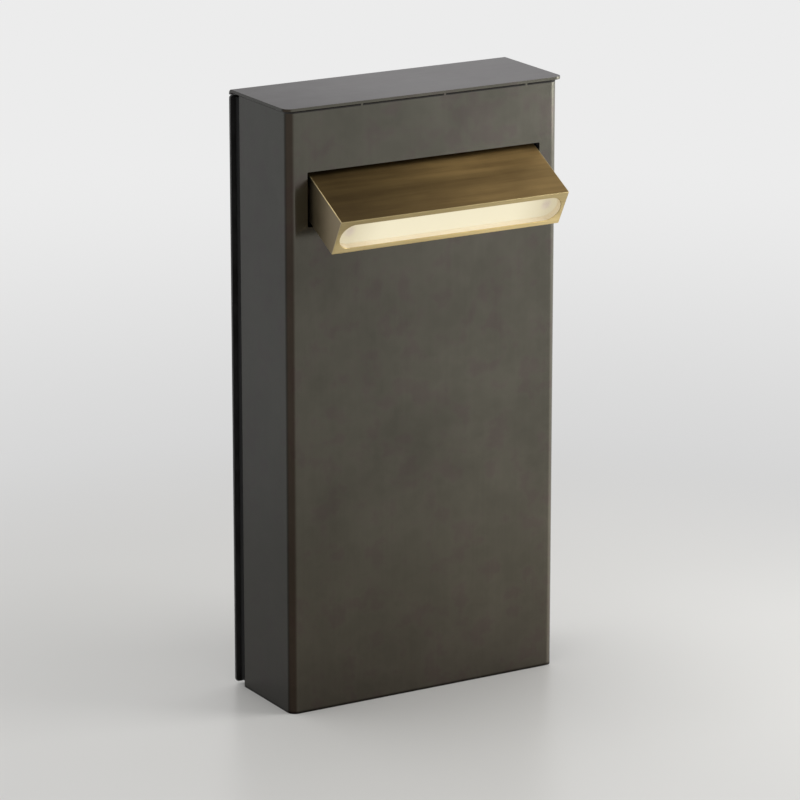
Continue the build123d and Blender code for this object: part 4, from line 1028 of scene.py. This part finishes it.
@dataclass(frozen=True)
class RearCover:
    """The flat service cover and its soft gasket."""

    corner: float = 2.0
    cover_hole: float = 2.25
    cover_edge: float = 0.15
    gasket_hole: float = 4.45
    gasket_edge: float = 0.35

    def build(self, paint: Material, foam: Material, housing: Housing, screws: RearScrews) -> None:
        """Build the two pieces.

        Args:
            paint: the finish of the cover.
            foam: the finish of the gasket.
            housing: the housing, whose window the gasket goes round.
            screws: the screws that hold the cover.
        """
        low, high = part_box("rear_cover")
        mesh = bmesh.new()
        edges = loop_edges(mesh, rectangle(high.x, low.z, high.z, high.y), [self.corner * MM] * 4, 5)
        edges += screws.holes(mesh, high.y, self.cover_hole)
        self._plate(mesh, edges)
        finish_piece(mesh, "rear_cover_sheet", Body.LAMP, [paint],
                     Softening(edge=self.cover_edge, sheet=(high.y - low.y) / MM), "rear_cover")
        low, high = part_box("rear_gasket")
        mesh = bmesh.new()
        edges = loop_edges(mesh, rectangle(high.x, low.z, high.z, high.y), [0.0] * 4)
        edges += housing.window(mesh, high.y) + screws.holes(mesh, high.y, self.gasket_hole)
        self._plate(mesh, edges)
        finish_piece(mesh, "rear_gasket_foam", Body.LAMP, [foam],
                     Softening(edge=self.gasket_edge, sheet=(high.y - low.y) / MM), "rear_gasket")

    @staticmethod
    def _plate(mesh: Mesh, edges: list[Edge]) -> None:
        """Fill outlines with faces that all look to the back.

        Args:
            mesh: the mesh that holds the outlines.
            edges: the edges of every outline.
        """
        fill(mesh, edges, (0.0, 1.0, 0.0))
        close_seams(mesh)
        for face in mesh.faces:
            if face.normal.y < 0:
                face.normal_flip()


@dataclass(frozen=True)
class LightBar:
    """The tilting brass bar with its long round-ended pocket, and the lens at the bottom of it.

    Both are built level about the pivot, which is in metres, and then turned and moved to their place.
    """

    pivot: Point
    width: float = 170.0
    height: float = 26.7
    nose: float = -48.55
    back: float = 22.2
    tilt: float = 28.5
    edge: float = 0.5
    wall: float = 2.5
    pocket_length: float = 164.4
    pocket_height: float = 19.4
    recess: float = 4.1
    ledge: float = 2.0
    ledge_thickness: float = 2.0
    gasket: float = 0.8
    lens_thickness: float = 3.0
    lens_clearance: float = 0.15
    lens_edge: float = 0.4

    def _seat(self, mesh: Mesh) -> None:
        """Turn and move a level mesh to its place in the lamp."""
        seat = Matrix.Translation(Vector(self.pivot)) @ Matrix.Rotation(math.radians(self.tilt), 4, "X")
        bmesh.ops.transform(mesh, matrix=seat, verts=mesh.verts[:])

    def _pocket(self, mesh: Mesh, inset: float, depth: float) -> list[Edge]:
        """The outline of the pocket, drawn in by an inset, at a depth; both are in millimetres."""
        return obround(mesh, (self.pocket_length - 2 * inset) * MM, (self.pocket_height - 2 * inset) * MM,
                       depth * MM)

    def build_bar(self, outside: Material, rubbed: Material, pocket: Material) -> None:
        """Build the bar.

        Args:
            outside: the finish of the bar.
            rubbed: the finish of its front and its edges, where the patina is rubbed off.
            pocket: the finish of the walls round the lens.
        """
        mesh = bmesh.new()
        half_width, half_height = self.width / 2 * MM, self.height / 2 * MM
        wall, nose, back = self.wall * MM, self.nose * MM, self.back * MM
        ledge = self.nose + self.recess + self.lens_thickness + self.gasket
        front = (ledge + self.ledge_thickness) * MM
        outer = loop_edges(mesh, rectangle(half_width, -half_height, half_height, nose), [0.0] * 4)
        rim = self._pocket(mesh, 0.0, self.nose)
        fill(mesh, outer + rim, (0.0, -1.0, 0.0))
        tail = pull(mesh, outer, (0.0, back - nose, 0.0))
        foot = pull(mesh, rim, (0.0, ledge * MM - nose, 0.0))
        opening = self._pocket(mesh, self.ledge, ledge)
        bmesh.ops.bridge_loops(mesh, edges=foot + opening)
        throat = pull(mesh, opening, (0.0, self.ledge_thickness * MM, 0.0))
        inner = rectangle(half_width - wall, wall - half_height, half_height - wall, front)
        cavity = loop_edges(mesh, inner, [0.0] * 4)
        fill(mesh, throat + cavity, (0.0, 1.0, 0.0))
        mouth = pull(mesh, cavity, (0.0, back - front, 0.0))
        fill(mesh, tail + mouth, (0.0, 1.0, 0.0))
        close_seams(mesh)
        places = ((nose, BarPlace.RUBBED), (ledge * MM, BarPlace.POCKET), (math.inf, BarPlace.OUTSIDE))
        for face in mesh.faces:
            reach = max(vert.co.y for vert in face.verts) - MERGE_DISTANCE
            face.material_index = next(place for limit, place in places if reach < limit)
        self._seat(mesh)
        finish_piece(mesh, "light_bar", Body.LIGHT, [outside, rubbed, pocket],
                     Softening(edge=self.edge, place=BarPlace.RUBBED), "head_housing")

    def build_lens(self, frosted: Material) -> None:
        """Build the lens plate.

        Args:
            frosted: its finish.
        """
        mesh = bmesh.new()
        rim = self._pocket(mesh, self.lens_clearance, self.nose + self.recess)
        fill(mesh, rim, (0.0, -1.0, 0.0))
        fill(mesh, pull(mesh, rim, (0.0, self.lens_thickness * MM, 0.0)), (0.0, 1.0, 0.0))
        close_seams(mesh)
        self._seat(mesh)
        finish_piece(mesh, "lens_plate", Body.LIGHT, [frosted],
                     Softening(edge=self.lens_edge, segments=3), "lens")


@dataclass(frozen=True)
class Softbox:
    """A soft rectangular lamp: where it hangs and its width and height, in metres, and its power in watts."""

    name: str
    place: Point
    size: Span
    power: float

    def hang(self, aim: Point) -> None:
        """Hang the lamp so that it looks at the object.

        Args:
            aim: the point that it looks at, in metres.
        """
        data = bpy.data.lights.new(self.name, "AREA")
        data.shape = "RECTANGLE"
        data.size, data.size_y = self.size
        data.energy = self.power
        lamp = show(self.name, data)
        lamp.location = self.place
        lamp.rotation_mode = "QUATERNION"
        lamp.rotation_quaternion = (Vector(aim) - Vector(self.place)).to_track_quat("-Z", "Y")


@dataclass(frozen=True)
class Studio:
    """The floor, the lights, the surroundings and the camera; the camera's angles are in degrees."""

    lens: float = 202.5
    sensor: float = 36.0
    azimuth: float = -30.37
    elevation: float = 15.88
    distance: float = 2.977
    aim: Point = (0.0007, 0.0, 0.1922)
    floor_radius: float = 9.0
    wall_light: float = 0.76
    ceiling_light: float = 0.42
    ceiling_span: Span = (0.15, 0.85)
    softboxes: tuple[Softbox, ...] = (Softbox("key", (0.64, -0.40, 0.48), (0.45, 0.45), 3.4),
                                      Softbox("overhead", (-0.3, 0.5, 2.2), (1.6, 1.6), 14.0))

    def build(self, floor: Material) -> None:
        """Set up the whole studio.

        Args:
            floor: the finish of the floor.
        """
        self._floor(floor)
        self._world()
        for softbox in self.softboxes:
            softbox.hang(self.aim)
        self._camera()
        bpy.context.scene.view_settings.view_transform = "Standard"

    def _floor(self, material: Material) -> None:
        """Lay the pale floor.

        Args:
            material: its finish.
        """
        mesh = bmesh.new()
        bmesh.ops.create_circle(mesh, cap_ends=True, segments=96, radius=self.floor_radius)
        data = bpy.data.meshes.new("studio_floor")
        mesh.to_mesh(data)
        mesh.free()
        data.materials.append(material)
        show("studio_floor", data)

    def _world(self) -> None:
        """Surround the lamp with pale walls under a darker ceiling."""
        world = bpy.data.worlds.new("studio")
        world.use_nodes = True
        tree = world.node_tree
        tree.nodes.clear()
        direction = tree.nodes.new("ShaderNodeTexCoord")
        split = tree.nodes.new("ShaderNodeSeparateXYZ")
        height = tree.nodes.new("ShaderNodeMapRange")
        height.interpolation_type = "SMOOTHSTEP"
        height.inputs["From Min"].default_value, height.inputs["From Max"].default_value = self.ceiling_span
        sky = tree.nodes.new("ShaderNodeValToRGB")
        for element, light in zip(sky.color_ramp.elements, (self.wall_light, self.ceiling_light)):
            element.color = (light,) * 3 + (1.0,)
        background = tree.nodes.new("ShaderNodeBackground")
        output = tree.nodes.new("ShaderNodeOutputWorld")
        tree.links.new(direction.outputs["Generated"], split.inputs["Vector"])
        tree.links.new(split.outputs["Z"], height.inputs["Value"])
        tree.links.new(height.outputs["Result"], sky.inputs["Fac"])
        tree.links.new(sky.outputs["Color"], background.inputs["Color"])
        tree.links.new(background.outputs["Background"], output.inputs["Surface"])
        bpy.context.scene.world = world

    def _camera(self) -> None:
        """Place the camera at the photograph's angle."""
        turn, rise = math.radians(self.azimuth), math.radians(self.elevation)
        back = Vector((math.sin(turn) * math.cos(rise), -math.cos(turn) * math.cos(rise), math.sin(rise)))
        data = bpy.data.cameras.new("camera")
        data.lens = self.lens
        data.sensor_width = self.sensor
        camera = show("camera", data)
        camera.location = Vector(self.aim) + back * self.distance
        camera.rotation_mode = "QUATERNION"
        camera.rotation_quaternion = (-back).to_track_quat("-Z", "Y")
        bpy.context.scene.camera = camera


# The housing's bronze with painted light and shade: darker to the foot and on the flanks, lighter to the
# right, a contact shadow at the foot, a dark reflection on the bends, a highlight on the front right bend
BRONZE = SheetFinish(
    "dark_bronze", ((0.0, (87, 82, 73)), (0.16, (91, 87, 77)), (0.5, (100, 97, 87)), (0.75, (98, 95, 86)),
                    (1.0, (101, 99, 90))), Grain.UPRIGHT, light_lean=(0.84, 1.26), foot_light_lean=(1.16, 0.8),
    foot_shadow=0.3, smudge_filter=(243, 235, 242), side_shade_filter=(173, 177, 183), bend_reflection_filter=(180, 166, 162),
    right_bend_glint=1.8)
# The cap's bronze, painted lighter than the housing's to stand for the light from above, and lighter to the
# right by painted light
CAP_BRONZE_WITH_PAINTED_LIGHT = SheetFinish(
    "dark_bronze_cap_painted_light", ((0.0, (124, 122, 123)), (1.0, (126, 123, 124))), Grain.ACROSS, metallic=0.75,
    gloss=(0.38, 0.46), cloud_tone=(0.86, 1.07), smudge_tone=(0.94, 1.0), grain_depth=0.000006,
    grain_tone=(0.93, 1.0), light_lean_span=(-0.11, 0.01), light_lean=(0.68, 1.04))
# The dark cut edges of the housing, painted dark also to stand for the shade at the slot's edges, and the
# painted shadow line under the cap
CUT_EDGE_AND_SHADOW_LINE = PlainFinish("cut_edge_and_shadow_line", (34, 32, 30), (44, 42, 39), metallic=0.6)
BLACK_PAINT = PlainFinish("black_paint", (14, 13, 12), (20, 19, 18))
BLACK_FOAM = PlainFinish("black_foam", (10, 10, 10), (17, 17, 17), roughness=(0.8, 0.95), depth=0.00004)
BLACK_STEEL = PlainFinish("black_steel", (20, 20, 21), (34, 34, 35), metallic=0.8)
# Rubbed brass of the front and edges, with painted light lighter to the right and lighter towards the back,
# which brightens the lower margin
RUBBED_BRASS = BrassFinish(
    "rubbed_brass", (196, 174, 122), (206, 185, 134), (216, 196, 146), (176, 162, 130), light_lean=(0.66, 0.86),
    back_light_span=(-0.072, -0.061), depth=(0.98, 1.5))
POCKET_BRASS = PlainFinish("pale_brass", (249, 239, 227), (252, 245, 235), metallic=1.0, roughness=(0.3, 0.4))

# The nodes of the model that keep their own shape, by their finish
INNER_FINISHES: dict[PlainFinish, tuple[str, ...]] = {
    PlainFinish("zinc_plate", (150, 152, 150), (176, 177, 172), metallic=1.0, roughness=(0.3, 0.45)): (
        "cap_bracket_left", "cap_bracket_right", "cap_studs", "cap_nuts", "rivet_nuts", "base_plate",
        "base_angle_left", "base_angle_right", "base_screws", "base_nuts", "gear_tray", "tray_screws",
        "cord_grip", "grip_screws", "driver_screws", "terminal_screws", "bracket_studs", "bracket_nuts",
        "board_screws", "head_screws", "pivot_pin", "pivot_tube", "spring_washers", "pivot_nuts"),
    PlainFinish("small_brass", (170, 140, 80), (198, 168, 104), metallic=1.0, roughness=(0.25, 0.4)): (
        "earth_stud", "earth_washer", "earth_nut"),
    # Dull brass friction washers, kept dark so that they stand for the shade inside the slot
    PlainFinish("dull_brass_slot_shade", (48, 40, 28), (62, 52, 36), metallic=1.0, roughness=(0.5, 0.6)): (
        "friction_washers",),
    # Black zinc plating on the pivot brackets, kept dark so that they stand for the shade inside the slot
    PlainFinish("black_zinc_slot_shade", (24, 24, 25), (36, 36, 37), metallic=0.9): (
        "pivot_bracket_left", "pivot_bracket_right"),
    PlainFinish("driver_case", (198, 198, 194), (214, 214, 210)): ("driver",),
    PlainFinish("white_moulding", (216, 214, 206), (228, 226, 218)): ("terminal_block", "led_board"),
    PlainFinish("clear_seal", (176, 174, 168), (196, 194, 188), roughness=(0.3, 0.4)): ("lens_gasket",),
    PlainFinish("aluminium", (184, 186, 188), (206, 208, 209), metallic=1.0, roughness=(0.3, 0.42)): (
        "heat_channel",),
    PlainFinish("led_phosphor", (232, 200, 96), (244, 214, 118)): ("leds",),
    PlainFinish("red_insulation", (150, 22, 18), (172, 34, 28)): ("board_wire",),
}
RUBBER_NODES = ("cable_grommet", "head_gasket", "head_lead", "input_lead", "lead_connector")


def main() -> None:
    """Build the lamp's looks around the frame."""
    logging.basicConfig(level=logging.INFO, format="%(name)s: %(message)s")
    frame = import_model()
    nodes = frame["nodes"]
    bronze, foam, brass = BRONZE.make(), BLACK_FOAM.make(), BrassFinish("antique_brass").make()

    housing, screws = Housing(), RearScrews()
    housing.build(bronze, CUT_EDGE_AND_SHADOW_LINE.make(), screws)
    TopCap().build(CAP_BRONZE_WITH_PAINTED_LIGHT.make(), bronze)
    RearCover().build(BLACK_PAINT.make(), foam, housing, screws)
    screws.build(BLACK_STEEL.make())
    bar = LightBar(pivot=tuple(frame["joints"][0]["pos_m"]))
    bar.build_bar(brass, RUBBED_BRASS.make(), POCKET_BRASS.make())
    bar.build_lens(LitLensFinish("lit_lens", centre=tuple(sum(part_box("lens"), Vector()) / 2)).make())

    for finish, names in INNER_FINISHES.items():
        dress(nodes, finish.make(), names)
    dress(nodes, foam, RUBBER_NODES)
    dress(nodes, brass, ("head_back_cover",))
    Studio().build(FloorFinish("pale_floor").make())


if __name__ == "__main__":
    main()
